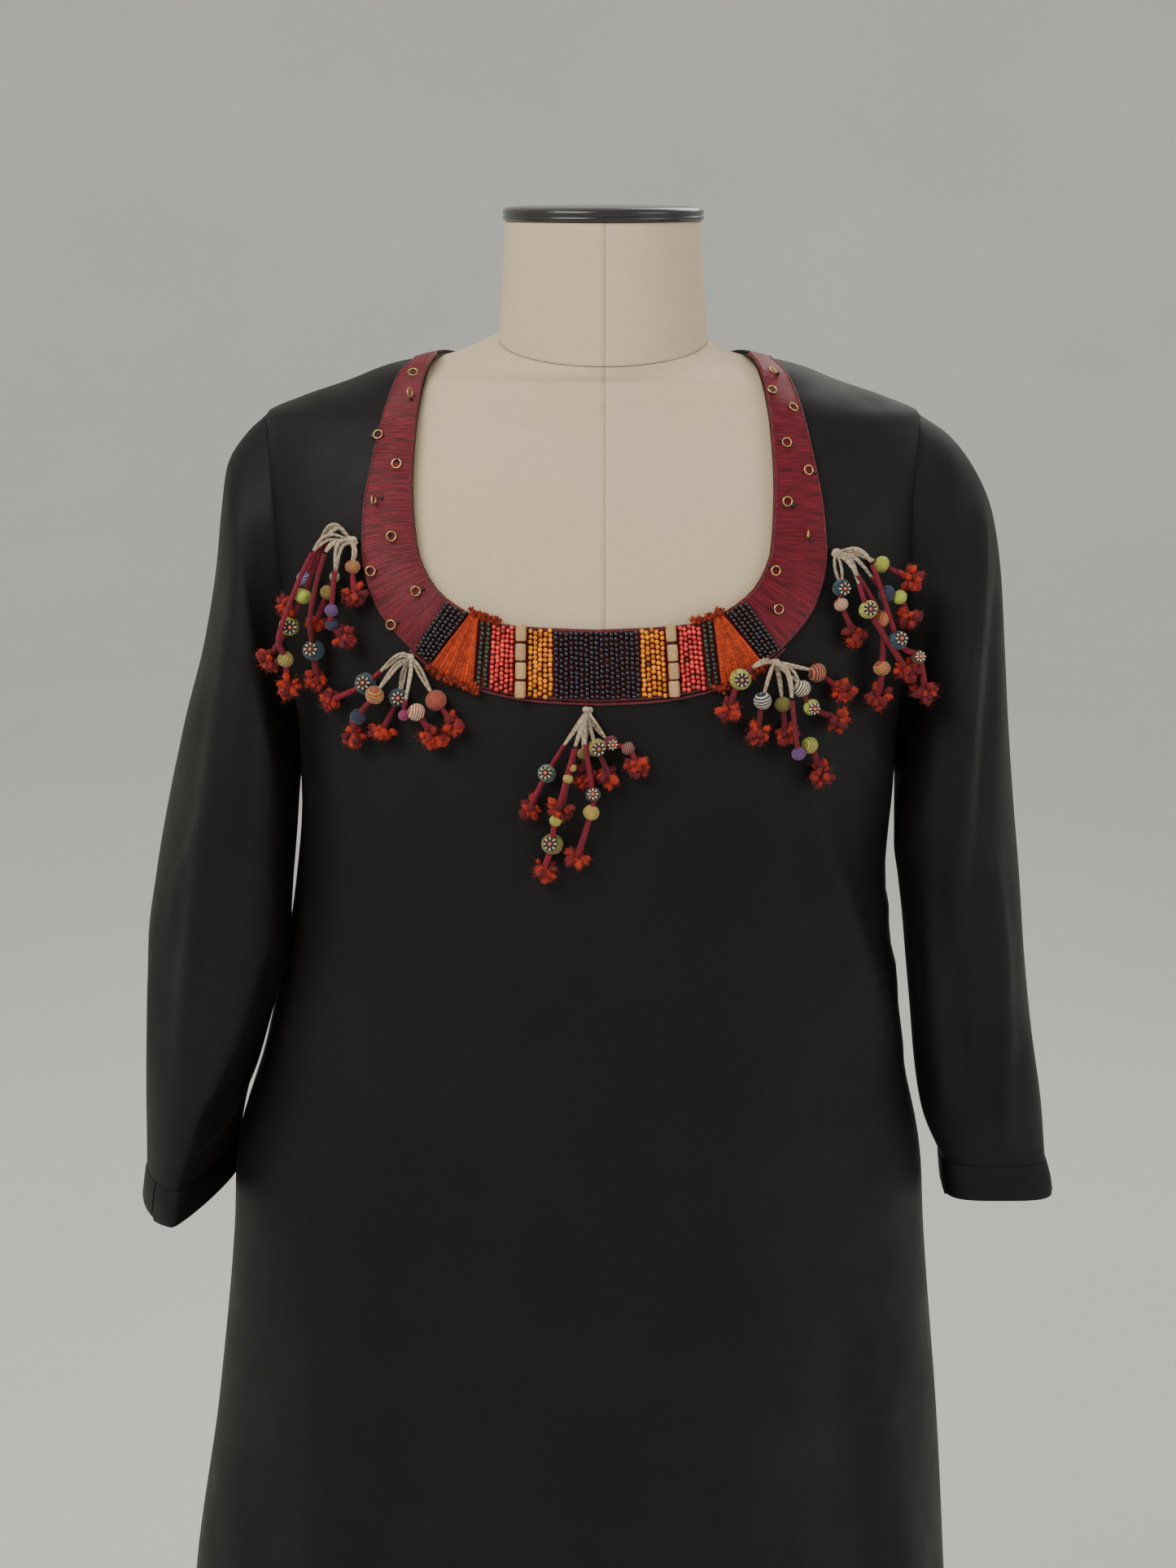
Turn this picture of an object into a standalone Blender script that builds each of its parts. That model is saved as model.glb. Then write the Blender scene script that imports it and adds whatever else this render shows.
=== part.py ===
"""A silk tunic with a beaded scoop neck, worn by a limbless dress form on a round base.

Metres, +Z up, the front faces -Y, and the origin is on the floor at the middle of the base.
Left and right are the viewer's: the left sleeve lies at -X.
"""

import math

import bmesh
import bpy
import numpy as np
from mathutils import Matrix, Vector

# Cloth and seams
CLOTH = 0.0012
GAP = 0.0003
HEM_Z = 0.460
VENT_TOP_Z = 0.924
VENT_OPENING = 0.014
ARMPIT_Z = 1.221
SHOULDER_TIP_Z = 1.428
NECK_POINT_Z = 1.4625
BACK_NECK_Z = 1.446
ARMHOLE_FRONT = 0.056
ARMHOLE_BACK = 0.058
ARMHOLE_ROUNDNESS = 0.8
CORE_Z = 1.25

# Inner face of the worn cloth, level by level:
# height, centre, half_width, front, back, roundness
BODY_ROWS = (
    (0.460, -0.0220, 0.2725, 0.1500, 0.1460, 2.30),
    (0.617, -0.0217, 0.2622, 0.1470, 0.1410, 2.30),
    (0.776, -0.0160, 0.2430, 0.1420, 0.1350, 2.30),
    (0.900, -0.0150, 0.2287, 0.1375, 0.1280, 2.35),
    (0.948, -0.0152, 0.2251, 0.1360, 0.1250, 2.35),
    (1.030, -0.0120, 0.2045, 0.1330, 0.1180, 2.45),
    (1.140, -0.0060, 0.1870, 0.1300, 0.1120, 2.60),
    (1.200, -0.0035, 0.1830, 0.1280, 0.1110, 2.80),
    (1.245, -0.0030, 0.1835, 0.1210, 0.1110, 3.00),
    (1.295, -0.0040, 0.1890, 0.1110, 0.1100, 3.30),
    (1.345, -0.0050, 0.1925, 0.1010, 0.1070, 3.40),
    (1.395, -0.0060, 0.1960, 0.0900, 0.1000, 3.00),
    (1.415, -0.0060, 0.1972, 0.0837, 0.0955, 2.60),
    (1.428, -0.0060, 0.1960, 0.0795, 0.0920, 2.20),
    (1.437, -0.0060, 0.1770, 0.0764, 0.0880, 2.10),
    (1.447, -0.0060, 0.1475, 0.0727, 0.0830, 2.00),
    (1.4565, -0.0060, 0.1225, 0.0688, 0.0765, 2.00),
    (1.4625, -0.0060, 0.0920, 0.0662, 0.0720, 2.00),
    (1.466, -0.0040, 0.0800, 0.0648, 0.0700, 2.00),
    (1.473, 0.0000, 0.0625, 0.0625, 0.0660, 2.00),
)

# Scoop neck and the outer edge of its band, from the centre front to the shoulder seam:
# half_width, height
NECKLINE_ROWS = (
    (0.0000, 1.3178),
    (0.0320, 1.3190),
    (0.0570, 1.3215),
    (0.0775, 1.3300),
    (0.0925, 1.3432),
    (0.1005, 1.3630),
    (0.1025, 1.3950),
    (0.1014, 1.4215),
    (0.0985, 1.4460),
    (0.0945, 1.4600),
    (0.0920, 1.4625),
)
BAND_EDGE_ROWS = (
    (0.0000, 1.2774),
    (0.0300, 1.2788),
    (0.0600, 1.2835),
    (0.0870, 1.2935),
    (0.1100, 1.3105),
    (0.1262, 1.3325),
    (0.1322, 1.3580),
    (0.1310, 1.3800),
    (0.1250, 1.4120),
    (0.1190, 1.4360),
    (0.1120, 1.4525),
    (0.1045, 1.4600),
)

# Soft ridges (height > 0) and troughs of the front and back, as lines in the front view:
# from_x, from_z, to_x, to_z, width, height
FRONT_FOLDS = (
    (0.124, 1.205, 0.192, 1.010, 0.016, 0.0060),
    (0.160, 1.195, 0.214, 1.040, 0.014, -0.0035),
    (0.085, 1.170, 0.105, 0.300, 0.036, 0.0090),
    (0.035, 1.120, 0.030, 0.300, 0.028, -0.0050),
    (-0.030, 1.130, -0.045, 0.300, 0.030, 0.0055),
    (-0.105, 1.150, -0.115, 0.300, 0.036, -0.0055),
    (-0.165, 1.000, -0.200, 0.300, 0.026, 0.0060),
    (0.165, 0.930, 0.178, 0.300, 0.022, -0.0050),
)
BACK_FOLDS = (
    (0.090, 1.250, 0.120, 0.300, 0.034, 0.0080),
    (0.020, 1.150, 0.030, 0.300, 0.026, -0.0050),
    (-0.060, 1.240, -0.075, 0.300, 0.032, 0.0075),
    (-0.140, 1.080, -0.165, 0.300, 0.030, -0.0055),
    (0.180, 0.980, 0.200, 0.300, 0.024, 0.0050),
)

# Rows and columns of the cloth grids
HEM_TO_ARMPIT = 11
ARMPIT_TO_SCOOP = 3
ALONG_SCOOP = 10
BACK_ARMPIT_TO_TOP = 10
FRONT_COLUMNS = 12
BACK_NECK_COLUMNS = 5
BACK_SHOULDER_COLUMNS = 5

# Outlines of the sleeves in the front view: height, distance from the middle
SLEEVE_OUTER = {
    "left": (
        (1.428, 0.2020), (1.4176, 0.2150), (1.403, 0.2262), (1.386, 0.2308),
        (1.3465, 0.2355), (1.3063, 0.2418), (1.2239, 0.2631), (1.1384, 0.2801),
        (1.0944, 0.2878), (1.0041, 0.2941), (0.9577, 0.2957), (0.915, 0.3020),
    ),
    "right": (
        (1.428, 0.1900), (1.4200, 0.2048), (1.4055, 0.2182), (1.386, 0.2322),
        (1.3465, 0.2428), (1.3063, 0.2466), (1.2239, 0.2542), (1.1384, 0.2647),
        (1.0497, 0.2755), (1.0041, 0.2845), (0.9577, 0.2889), (0.934, 0.2950), (0.915, 0.2985),
    ),
}
SLEEVE_INNER = {
    "left": (
        (1.221, 0.1850), (1.203, 0.1905), (1.168, 0.1940), (1.118, 0.2010),
        (1.084, 0.2080), (1.031, 0.2205), (0.971, 0.2375), (0.935, 0.2445),
    ),
    "right": (
        (1.221, 0.1795), (1.203, 0.1850), (1.171, 0.1850), (1.129, 0.1900),
        (1.054, 0.1985), (0.987, 0.2075), (0.962, 0.2205), (0.925, 0.2260),
    ),
}
# Rings of the sleeves: outer_z, inner_z, front, side, back, turn, skew, roundness
SLEEVE_TOP_RINGS = (
    (1.4165, 1.2130, -0.0600, 0.0000, 0.0600, 0.002, 0.000, 2.1),
    (1.3980, 1.2040, -0.0655, -0.0012, 0.0630, 0.006, 0.000, 2.1),
    (1.3700, 1.1930, -0.0715, -0.0037, 0.0640, 0.010, 0.000, 2.1),
    (1.3330, 1.1800, -0.0780, -0.0080, 0.0620, 0.013, 0.000, 2.1),
    (1.2880, 1.1640, -0.0830, -0.0125, 0.0580, 0.015, 0.000, 2.1),
)
SLEEVE_RINGS = {
    "left": SLEEVE_TOP_RINGS + (
        (1.2400, 1.1440, -0.0850, -0.0155, 0.0540, 0.018, 0.000, 2.05),
        (1.1900, 1.1190, -0.0850, -0.0175, 0.0500, 0.024, 0.000, 1.95),
        (1.1400, 1.0900, -0.0850, -0.0195, 0.0460, 0.029, 0.001, 1.80),
        (1.0900, 1.0560, -0.0850, -0.0210, 0.0420, 0.028, 0.004, 1.65),
        (1.0400, 1.0180, -0.0840, -0.0230, 0.0360, 0.019, 0.009, 1.50),
        (0.9900, 0.9830, -0.0820, -0.0210, 0.0290, 0.007, 0.014, 1.38),
    ),
    "right": SLEEVE_TOP_RINGS + (
        (1.2400, 1.1440, -0.0850, -0.0155, 0.0540, 0.014, 0.000, 2.1),
        (1.1900, 1.1190, -0.0850, -0.0175, 0.0500, 0.013, 0.000, 2.1),
        (1.1400, 1.0900, -0.0830, -0.0190, 0.0450, 0.012, 0.000, 2.15),
        (1.0900, 1.0560, -0.0770, -0.0190, 0.0390, 0.009, 0.000, 2.3),
        (1.0400, 1.0180, -0.0670, -0.0190, 0.0290, 0.005, 0.000, 2.6),
        (0.9900, 0.9830, -0.0540, -0.0190, 0.0170, 0.002, 0.000, 3.0),
    ),
}
CUFF_HEIGHT = 0.025
CUFF_COLUMNS = 24
# Half of the slit, as an angle round the cuff, and how far one of its ends hangs lower
CUFF_SLIT = 0.02
CUFF_STEP = 0.002
CUFF_STEP_COLUMNS = 2
CUFFS = {
    "left": {"bottom_z": 0.9250, "front": -0.0790, "side": -0.0160, "back": 0.0220,
             "turn": 0.000, "skew": 0.019, "roundness": 1.30, "slit": 0.13},
    "right": {"bottom_z": 0.9235, "front": -0.0400, "side": -0.0180, "back": 0.0040,
              "turn": 0.000, "skew": 0.000, "roundness": 3.60, "slit": 0.44},
}

# Neck band and what is sewn on it; distances run from the centre front along each edge
BAND = 0.0018
BAND_LIFT = 0.0007
BAND_CROWN = 0.25
BAND_PARTS = 36
BAND_ACROSS = 4
BAND_SHARE = 0.985
BINDING_DROP = 0.0042
BINDING_BACK = 0.0035
BINDING_OUT = 0.00525
BINDING_END_Y = 0.002
BINDING_LIFT = 0.0002
PAD = 0.0018
PAD_STEP = 0.009
PAD_ACROSS = (0.03, 0.265, 0.5, 0.735, 0.97)
# Pads of each side: name, inner_from, inner_to, outer_from, outer_to, height
PAD_ROWS = (
    ("orange_beads", 0.0246, 0.0385, 0.0254, 0.0402, 0.0018),
    ("coral_beads", 0.0462, 0.0590, 0.0480, 0.0625, 0.0018),
    ("green_beads", 0.0594, 0.0660, 0.0629, 0.0705, 0.0018),
    ("wool_wedge", 0.0666, 0.0728, 0.0711, 0.0985, 0.0034),
    ("black_beads", 0.0734, 0.0880, 0.0991, 0.1110, 0.0018),
)
NAVY_HALF = (0.0242, 0.0250)
BONE_PLACE = (0.0424, 0.0441)
BONE_RADIUS = 0.0032
BONE_RIM_RADIUS = 0.0026
BONE_RIM = 0.001
BONE_LENGTH = 0.0100
BONE_COUNT = 4
BONE_SPACING = 0.0106
THREAD_RADIUS = 0.0009
RING_RADIUS = 0.0026
RING_WIRE = 0.0005
# Rings on the band: x, z, tilt in degrees, how far the ring sinks below the band's crown
BAND_RINGS = (
    (-0.1090, 1.4535, 20, 0.0012), (-0.1094, 1.4413, 80, 0), (-0.1280, 1.4218, 0, 0),
    (-0.1171, 1.4073, 0, 0), (-0.1292, 1.3875, 80, 0), (-0.1199, 1.3685, 15, 0),
    (-0.1318, 1.3490, 20, 0), (-0.1064, 1.3386, 10, 0), (-0.1207, 1.3194, 0, 0),
    (0.0965, 1.4540, 20, 0.0006), (0.0958, 1.4447, 0, 0), (0.1078, 1.4357, 15, 0.0007),
    (0.1034, 1.4183, 0, 0), (0.1155, 1.4036, 10, 0), (0.1036, 1.3875, 0, 0),
    (0.1145, 1.3692, 80, 0), (0.0971, 1.3499, 10, 0), (0.0990, 1.3285, 0, 0),
)

# Tassels: a knot at the band's edge, then strands of cord, beads and a tuft of yarn.
# Each strand lists (across, down, radius, lift) in millimetres from the knot.
CORD_RADIUS = 0.0009
KNOT_RADIUS = 0.0036
TASSEL_REACH = 0.155
STRAND_SIDES = 4
# Profiles of a bead and of a tuft: (along, share of the radius)
BEAD_PROFILE = ((-0.95, 0.3), (-0.5, 0.9), (0.5, 0.9), (0.95, 0.3))
TUFT_PROFILE = ((-0.98, 0.25), (-0.55, 0.85), (0.25, 1.0), (0.95, 0.6))
THINNEST_BEAD = 0.002
TASSELS = (
    {"root": (-0.1418, 1.3650), "strands": (
        ((-12, 7, 0.9, 7), (-27, -22, 4.7, 5.5), (-36, -38, 6.5, 8)),
        ((-9, 5, 0.9, 10), (-23, -31, 5.0, 14), (-34, -48, 5.9, 9), (-47, -68, 7.0, 8)),
        ((-6, -4, 0.9, 8), (-13, -28, 4.5, 7), (-19, -46, 6.5, 8)),
        ((3, -6, 0.9, 8), (1, -14, 4.5, 7), (2, -31, 6.5, 8)),
        ((-4, -6, 0.9, 14), (-6, -38, 3.8, 18), (-1, -54, 7.0, 12)),
        ((-9, -5, 0.9, 16), (-16, -40, 1.2, 19), (-20, -62, 6.4, 9), (-19, -79, 7.0, 8)),
        ((-14, -3, 0.9, 16), (-33, -50, 1.2, 19), (-35, -67, 4.7, 11), (-36, -84, 7.0, 8)),
    )},
    {"root": (-0.1095, 1.3010), "strands": (
        ((-6, 1, 0.9, 7), (-24, -15, 6.5, 8), (-43, -26, 6.5, 8)),
        ((-6, -4, 0.9, 13), (-16, -20, 5.5, 16), (-30, -46, 7.0, 9)),
        ((-3, -7, 0.9, 6), (-6, -22, 5.5, 7), (-15, -42, 7.0, 8)),
        ((5, -5, 0.9, 8), (15, -23, 6.2, 7), (26, -37, 6.8, 8)),
        ((2, -8, 0.9, 12), (6, -28, 5.2, 15), (15, -45, 8.0, 10)),
    )},
    {"root": (-0.0092, 1.2728), "strands": (
        ((3, -6, 0.9, 7), (13, -18, 4.3, 5.5), (29, -32, 7.0, 8)),
        ((1, -8, 0.9, 9), (5, -20, 5.6, 13), (13, -37, 6.8, 10)),
        ((-1, -8, 0.9, 5), (-2, -24, 4.0, 6), (-1, -38, 6.5, 8)),
        ((-6, -8, 0.9, 9), (-23, -35, 5.4, 7), (-33, -55, 7.0, 8)),
        ((-4, -9, 0.9, 13), (-11, -36, 3.0, 17), (-15, -55, 7.0, 14)),
        ((-2, -12, 0.9, 16), (2, -54, 4.7, 13), (-6, -82, 7.0, 9)),
        ((-5, -12, 0.9, 17), (-22, -52, 1.2, 18), (-20, -74, 6.4, 8), (-25, -90, 7.0, 8)),
    )},
    {"root": (0.0968, 1.2982), "strands": (
        ((-9, 1, 0.9, 12), (-21, -8, 6.2, 14), (-27, -26, 6.5, 9)),
        ((-4, -5, 0.9, 11), (-9, -20, 5.2, 14), (-11, -39, 7.0, 9)),
        ((2, -8, 0.9, 6), (4, -23, 4.8, 6), (5, -40, 6.5, 8)),
        ((6, 0, 0.9, 7), (23, -6, 5.6, 7), (38, -18, 7.0, 8)),
        ((7, -5, 0.9, 12), (17, -18, 5.8, 15), (34, -33, 7.0, 10)),
        ((5, -8, 0.9, 15), (14, -34, 1.2, 17), (17, -47, 4.9, 10), (25, -65, 7.5, 9)),
    )},
    {"root": (0.1312, 1.3590), "strands": (
        ((9, -1, 0.9, 7), (25, -8, 5.0, 6), (42, -17, 7.0, 8)),
        ((8, -5, 0.9, 11), (29, -24, 5.2, 13), (39, -38, 7.0, 9)),
        ((0, -7, 0.9, 7), (2, -20, 5.3, 7), (10, -48, 6.5, 8)),
        ((5, -7, 0.9, 14), (12, -32, 5.6, 17), (38, -68, 7.0, 10)),
        ((4, -9, 0.9, 17), (20, -38, 5.3, 14), (24, -60, 1.2, 15), (22, -84, 7.0, 9)),
        ((12, -4, 0.9, 17), (34, -36, 1.2, 20), (43, -58, 4.2, 13), (50, -81, 7.0, 8)),
    )},
)

# Dress form
FORM_TOP_Z = 1.473
NECK_TILT = 0.19
# The form below the bust: height, centre, half_width, front, back, roundness
FORM_ROWS = (
    (0.780, -0.006, 0.1630, 0.0980, 0.1080, 2.30),
    (0.800, -0.006, 0.1690, 0.1010, 0.1110, 2.30),
    (0.880, -0.006, 0.1760, 0.1040, 0.1130, 2.30),
    (0.960, -0.006, 0.1640, 0.0990, 0.1040, 2.30),
    (1.050, -0.005, 0.1400, 0.0900, 0.0880, 2.20),
    (1.120, -0.004, 0.1500, 0.1020, 0.0950, 2.40),
    (1.165, -0.004, 0.1680, 0.1180, 0.1040, 2.60),
)
# The form above it follows the cloth: height, less_width, less_depth
FORM_LEVELS = (
    (1.195, 0.0018, 0.0018),
    (1.245, 0.0020, 0.0016),
    (1.295, 0.0030, 0.0014),
    (1.345, 0.0050, 0.0014),
    (1.390, 0.0080, 0.0018),
    (1.412, 0.0110, 0.0022),
    (1.426, 0.0110, 0.0022),
    (1.436, 0.0070, 0.0022),
    (1.445, 0.0040, 0.0020),
    (1.453, 0.0040, 0.0026),
    (1.459, 0.0036, 0.0026),
    (1.4635, 0.0026, 0.0020),
)
FORM_DROP = 0.0012
FORM_SIDES = 32
NECK_RADIUS = 0.0625
NECK_TOP_RADIUS = 0.0583
NECK_TOP_Z = 1.5407
CAP_Z = 1.541
POLE_RADIUS = 0.016
POLE_SIDES = 20
BASE_HEIGHT = 0.026
BASE_SIDES = 40
# Turned outlines from the top down: radius, height over the underside
CAP_PROFILE = (
    (0, 0.0090), (0.0357, 0.0084), (0.0565, 0.0072), (0.0589, 0.0060),
    (0.0595, 0.0045), (0.0589, 0.0015), (0.0571, 0), (0, 0),
)
BASE_PROFILE = (
    (0, 0.0260), (0.0300, 0.0260), (0.0340, 0.0215), (0.0600, 0.0190), (0.1500, 0.0150),
    (0.1840, 0.0115), (0.1900, 0.0080), (0.1900, 0.0015), (0.1885, 0), (0, 0),
)

FRONT, BACK = -1.0, 1.0
SIDES = (("left", -1.0), ("right", 1.0))


# Curves and the body's surface


def smooth(knots, values, at):
    """A cubic through the values that never swings past them."""
    knots, values = np.asarray(knots, float), np.asarray(values, float)
    step = np.diff(knots)
    rise = np.diff(values) / step
    product = rise[1:] * rise[:-1]
    total = np.where(product > 0, rise[1:] + rise[:-1], 1.0)
    inner = np.where(product > 0, 2 * product / total, 0.0)
    slope = np.concatenate([rise[:1], inner, rise[-1:]])
    at = np.clip(at, knots[0], knots[-1])
    k = np.clip(np.searchsorted(knots, at, side="right") - 1, 0, len(step) - 1)
    u = (at - knots[k]) / step[k]
    return (
        (1 + 2 * u) * (1 - u) ** 2 * values[k]
        + u * (1 - u) ** 2 * step[k] * slope[k]
        + u**2 * (3 - 2 * u) * values[k + 1]
        - u**2 * (1 - u) * step[k] * slope[k + 1]
    )


def line_through(rows, count=240):
    """Points of a smooth line through the rows of a table."""
    rows = np.asarray(rows, float)
    along = np.concatenate([[0], np.cumsum(np.linalg.norm(np.diff(rows, axis=0), axis=1))])
    at = np.linspace(0, along[-1], count)
    return np.stack([smooth(along, rows[:, k], at) for k in range(rows.shape[1])], axis=1)


def lengths(line):
    return np.concatenate([[0], np.cumsum(np.linalg.norm(np.diff(line, axis=0), axis=1))])


def at_lengths(line, wanted):
    """Points at these distances along a line."""
    along = lengths(line)
    return np.stack([np.interp(wanted, along, line[:, k]) for k in range(3)], axis=-1)


def evenly(line, parts):
    """The line's points at parts + 1 even steps."""
    return at_lengths(line, np.linspace(0, lengths(line)[-1], parts + 1))


def section(z):
    """Centre, half width, front depth, back depth and roundness of the body at each height."""
    heights = [row[0] for row in BODY_ROWS]
    return [smooth(heights, [row[k] for row in BODY_ROWS], z) for k in range(1, 6)]


def bulge(points):
    """Below zero inside the body, zero on it and above zero outside."""
    centre, half_width, front, back, roundness = section(points[:, 2])
    depth = np.where(points[:, 1] < 0, front, back)
    across = np.abs((points[:, 0] - centre) / half_width)
    return across**roundness + np.abs(points[:, 1] / depth) ** roundness - 1


def onto_body(points):
    """Slides each point along the ray from the body's core until it lies on the surface."""
    points = np.atleast_2d(np.asarray(points, float))
    core = np.zeros_like(points)
    core[:, 2] = np.minimum(points[:, 2], CORE_Z)
    core[:, 0] = section(core[:, 2])[0]
    low, high = np.full(len(points), 0.2), np.full(len(points), 3.0)
    for _ in range(40):
        middle = (low + high) / 2
        outside = bulge(core + (points - core) * middle[:, None]) > 0
        high = np.where(outside, middle, high)
        low = np.where(outside, low, middle)
    return core + (points - core) * low[:, None]


def normals(points):
    step = 0.0004
    slope = np.stack(
        [bulge(points + step * axis) - bulge(points - step * axis) for axis in np.eye(3)], axis=1
    )
    return slope / np.linalg.norm(slope, axis=1)[:, None]


def lifted(points, height):
    """Points moved out from the body by a height."""
    return points + normals(points) * np.reshape(height, (-1, 1))


def edge_point(across, z, face):
    """The point of the front or back at a distance across from the centre and a height."""
    centre, half_width, front, back, roundness = section(z)
    depth = front if face == FRONT else back
    share = np.clip(np.abs(across) / half_width, 0, 1)
    y = face * depth * (1 - share**roundness) ** (1 / roundness)
    return np.stack([centre + across, y, z], axis=-1)


def scoop_line(rows, side):
    """A neck edge on the body, from the centre front to the shoulder seam."""
    line = line_through(rows)
    return edge_point(side * line[:, 0], line[:, 1], FRONT)


def armhole_line(side, face):
    """Half of an armhole, from the armpit to the shoulder tip."""
    angle = np.linspace(0, math.pi, 160)
    middle, reach = (SHOULDER_TIP_Z + ARMPIT_Z) / 2, (SHOULDER_TIP_Z - ARMPIT_Z) / 2
    z = middle - reach * np.cos(angle)
    depth = ARMHOLE_FRONT if face == FRONT else ARMHOLE_BACK
    y = depth * np.abs(np.sin(angle)) ** ARMHOLE_ROUNDNESS
    centre, half_width, front, back, roundness = section(z)
    share = np.clip(y / (front if face == FRONT else back), 0, 1)
    x = centre + side * half_width * (1 - share**roundness) ** (1 / roundness)
    return np.stack([x, face * y, z], axis=1)


def side_seam(side, levels):
    centre, half_width = section(levels)[:2]
    return np.stack([centre + side * half_width, 0 * levels, levels], axis=1)


def shoulder_seam(side):
    """From the neck point down to the shoulder tip."""
    levels = np.linspace(NECK_POINT_Z, SHOULDER_TIP_Z, 120)
    return side_seam(side, levels)


def hem_line(side, face):
    """From the centre to the side seam at the hem."""
    angle = np.linspace(0, math.pi / 2, 120)
    centre, half_width, front, back, roundness = section(np.full(120, HEM_Z))
    size = (np.sin(angle) ** roundness + np.cos(angle) ** roundness) ** (1 / roundness)
    depth = front if face == FRONT else back
    return np.stack(
        [
            centre + side * half_width * np.sin(angle) / size,
            face * depth * np.cos(angle) / size,
            np.full(120, HEM_Z),
        ],
        axis=1,
    )


def fold_heights(points, folds):
    """How far the folds raise each point; a fold fades to nothing at its ends."""
    total = np.zeros(len(points))
    for from_x, from_z, to_x, to_z, width, height in folds:
        start, run = np.array([from_x, from_z]), np.array([to_x - from_x, to_z - from_z])
        along = ((points[:, [0, 2]] - start) @ run) / (run @ run)
        along = np.clip(along, 0, 1)
        away = np.linalg.norm(points[:, [0, 2]] - start - along[:, None] * run, axis=1)
        total += height * np.exp(-((away / width) ** 2)) * np.sin(math.pi * along) ** 0.7
    return total


# Meshes


def collection_named(name):
    made = bpy.data.collections.new(name)
    bpy.context.scene.collection.children.link(made)
    return made


def material(name, colour, roughness, metallic=0.0):
    made = bpy.data.materials.get(name) or bpy.data.materials.new(name)
    made.use_nodes = True
    shader = made.node_tree.nodes["Principled BSDF"]
    shader.inputs["Base Color"].default_value = (*colour, 1)
    shader.inputs["Roughness"].default_value = roughness
    shader.inputs["Metallic"].default_value = metallic
    made.diffuse_color = (*colour, 1)
    return made


def object_from(bm, name, finish, round_shading=True):
    """A new object in the part's collection from a bmesh, which is freed."""
    mesh = bpy.data.meshes.new(name)
    bmesh.ops.recalc_face_normals(bm, faces=bm.faces)
    bm.to_mesh(mesh)
    bm.free()
    if round_shading:
        mesh.shade_smooth()
        mesh.set_sharp_from_angle(angle=math.radians(50))
    mesh.materials.append(finish)
    made = bpy.data.objects.new(name, mesh)
    PARTS.objects.link(made)
    return made


def wall(name, inner, outer, quads, finish):
    """A closed wall between two faces that share their quads; its rims follow the open edges."""
    bm = bmesh.new()
    inside = [bm.verts.new(p) for p in inner]
    outside = [bm.verts.new(p) for p in outer]
    edges = {}
    for quad in quads:
        bm.faces.new([outside[k] for k in quad])
        bm.faces.new([inside[k] for k in reversed(quad)])
        for a, b in zip(quad, quad[1:] + quad[:1]):
            edges[frozenset((a, b))] = None if frozenset((a, b)) in edges else (a, b)
    for rim in filter(None, edges.values()):
        a, b = rim
        bm.faces.new([outside[b], outside[a], inside[a], inside[b]])
    return object_from(bm, name, finish)


def grid_quads(rows, columns, closed=False, start=0):
    """Quads over points stored row by row."""
    wrap = columns if closed else columns - 1
    return [
        [
            start + r * columns + c,
            start + r * columns + (c + 1) % columns,
            start + (r + 1) * columns + (c + 1) % columns,
            start + (r + 1) * columns + c,
        ]
        for r in range(rows - 1)
        for c in range(wrap)
    ]


def patch(inner, outer, bottom, top):
    """Points between four edge lines, row by row from the bottom, inner edge first."""
    t = np.linspace(0, 1, len(inner))[:, None, None]
    s = np.linspace(0, 1, len(bottom))[None, :, None]
    corners = (
        (1 - s) * (1 - t) * inner[0]
        + s * (1 - t) * outer[0]
        + (1 - s) * t * inner[-1]
        + s * t * outer[-1]
    )
    return (
        (1 - s) * inner[:, None]
        + s * outer[:, None]
        + (1 - t) * bottom[None]
        + t * top[None]
        - corners
    )


def side_closeness(points):
    centre, half_width = section(points[:, 2])[:2]
    return np.clip(np.abs(points[:, 0] - centre) / half_width, 0, 1) ** 8


def shaped_cloth(points, face, folds):
    """Panel points on the body, with the folds raised and the vents parted."""
    seated = onto_body(points)
    raised = lifted(seated, fold_heights(seated, folds))
    below_vent = np.clip((VENT_TOP_Z - raised[:, 2]) / (VENT_TOP_Z - HEM_Z), 0, 1)
    parting = GAP / 2 + VENT_OPENING * below_vent**1.5 * side_closeness(raised)
    raised[:, 1] += face * parting
    return raised


def panel_rows(side, face):
    """Inner and outer edge points of a half panel, row by row, up to the shoulder."""
    low = np.linspace(HEM_Z, ARMPIT_Z, HEM_TO_ARMPIT + 1)
    middle_low = edge_point(0 * low, low, face)
    outer_low = side_seam(side, low)
    if face == FRONT:
        scoop_bottom = NECKLINE_ROWS[0][1]
        rise = np.linspace(ARMPIT_Z, scoop_bottom, ARMPIT_TO_SCOOP + 1)[1:]
        scoop = evenly(scoop_line(NECKLINE_ROWS, side), ALONG_SCOOP)[1:]
        inner = np.concatenate([middle_low, edge_point(0 * rise, rise, face), scoop])
    else:
        rise = np.linspace(ARMPIT_Z, BACK_NECK_Z, BACK_ARMPIT_TO_TOP + 1)[1:]
        inner = np.concatenate([middle_low, edge_point(0 * rise, rise, face)])
    armhole = evenly(armhole_line(side, face), len(inner) - len(low))
    outer = np.concatenate([outer_low, armhole[1:]])
    return inner, outer


def back_neck_line(side):
    """The back neckline, from the centre back up to the neck point."""
    angle = np.linspace(0, math.pi / 2, 120)
    z = BACK_NECK_Z + (NECK_POINT_Z - BACK_NECK_Z) * np.sin(angle) ** 3
    centre, half_width, _, back, roundness = section(z)
    across = section(np.array([NECK_POINT_Z]))[1][0] * np.sin(angle)
    return edge_point(side * across, z, BACK)


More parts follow.
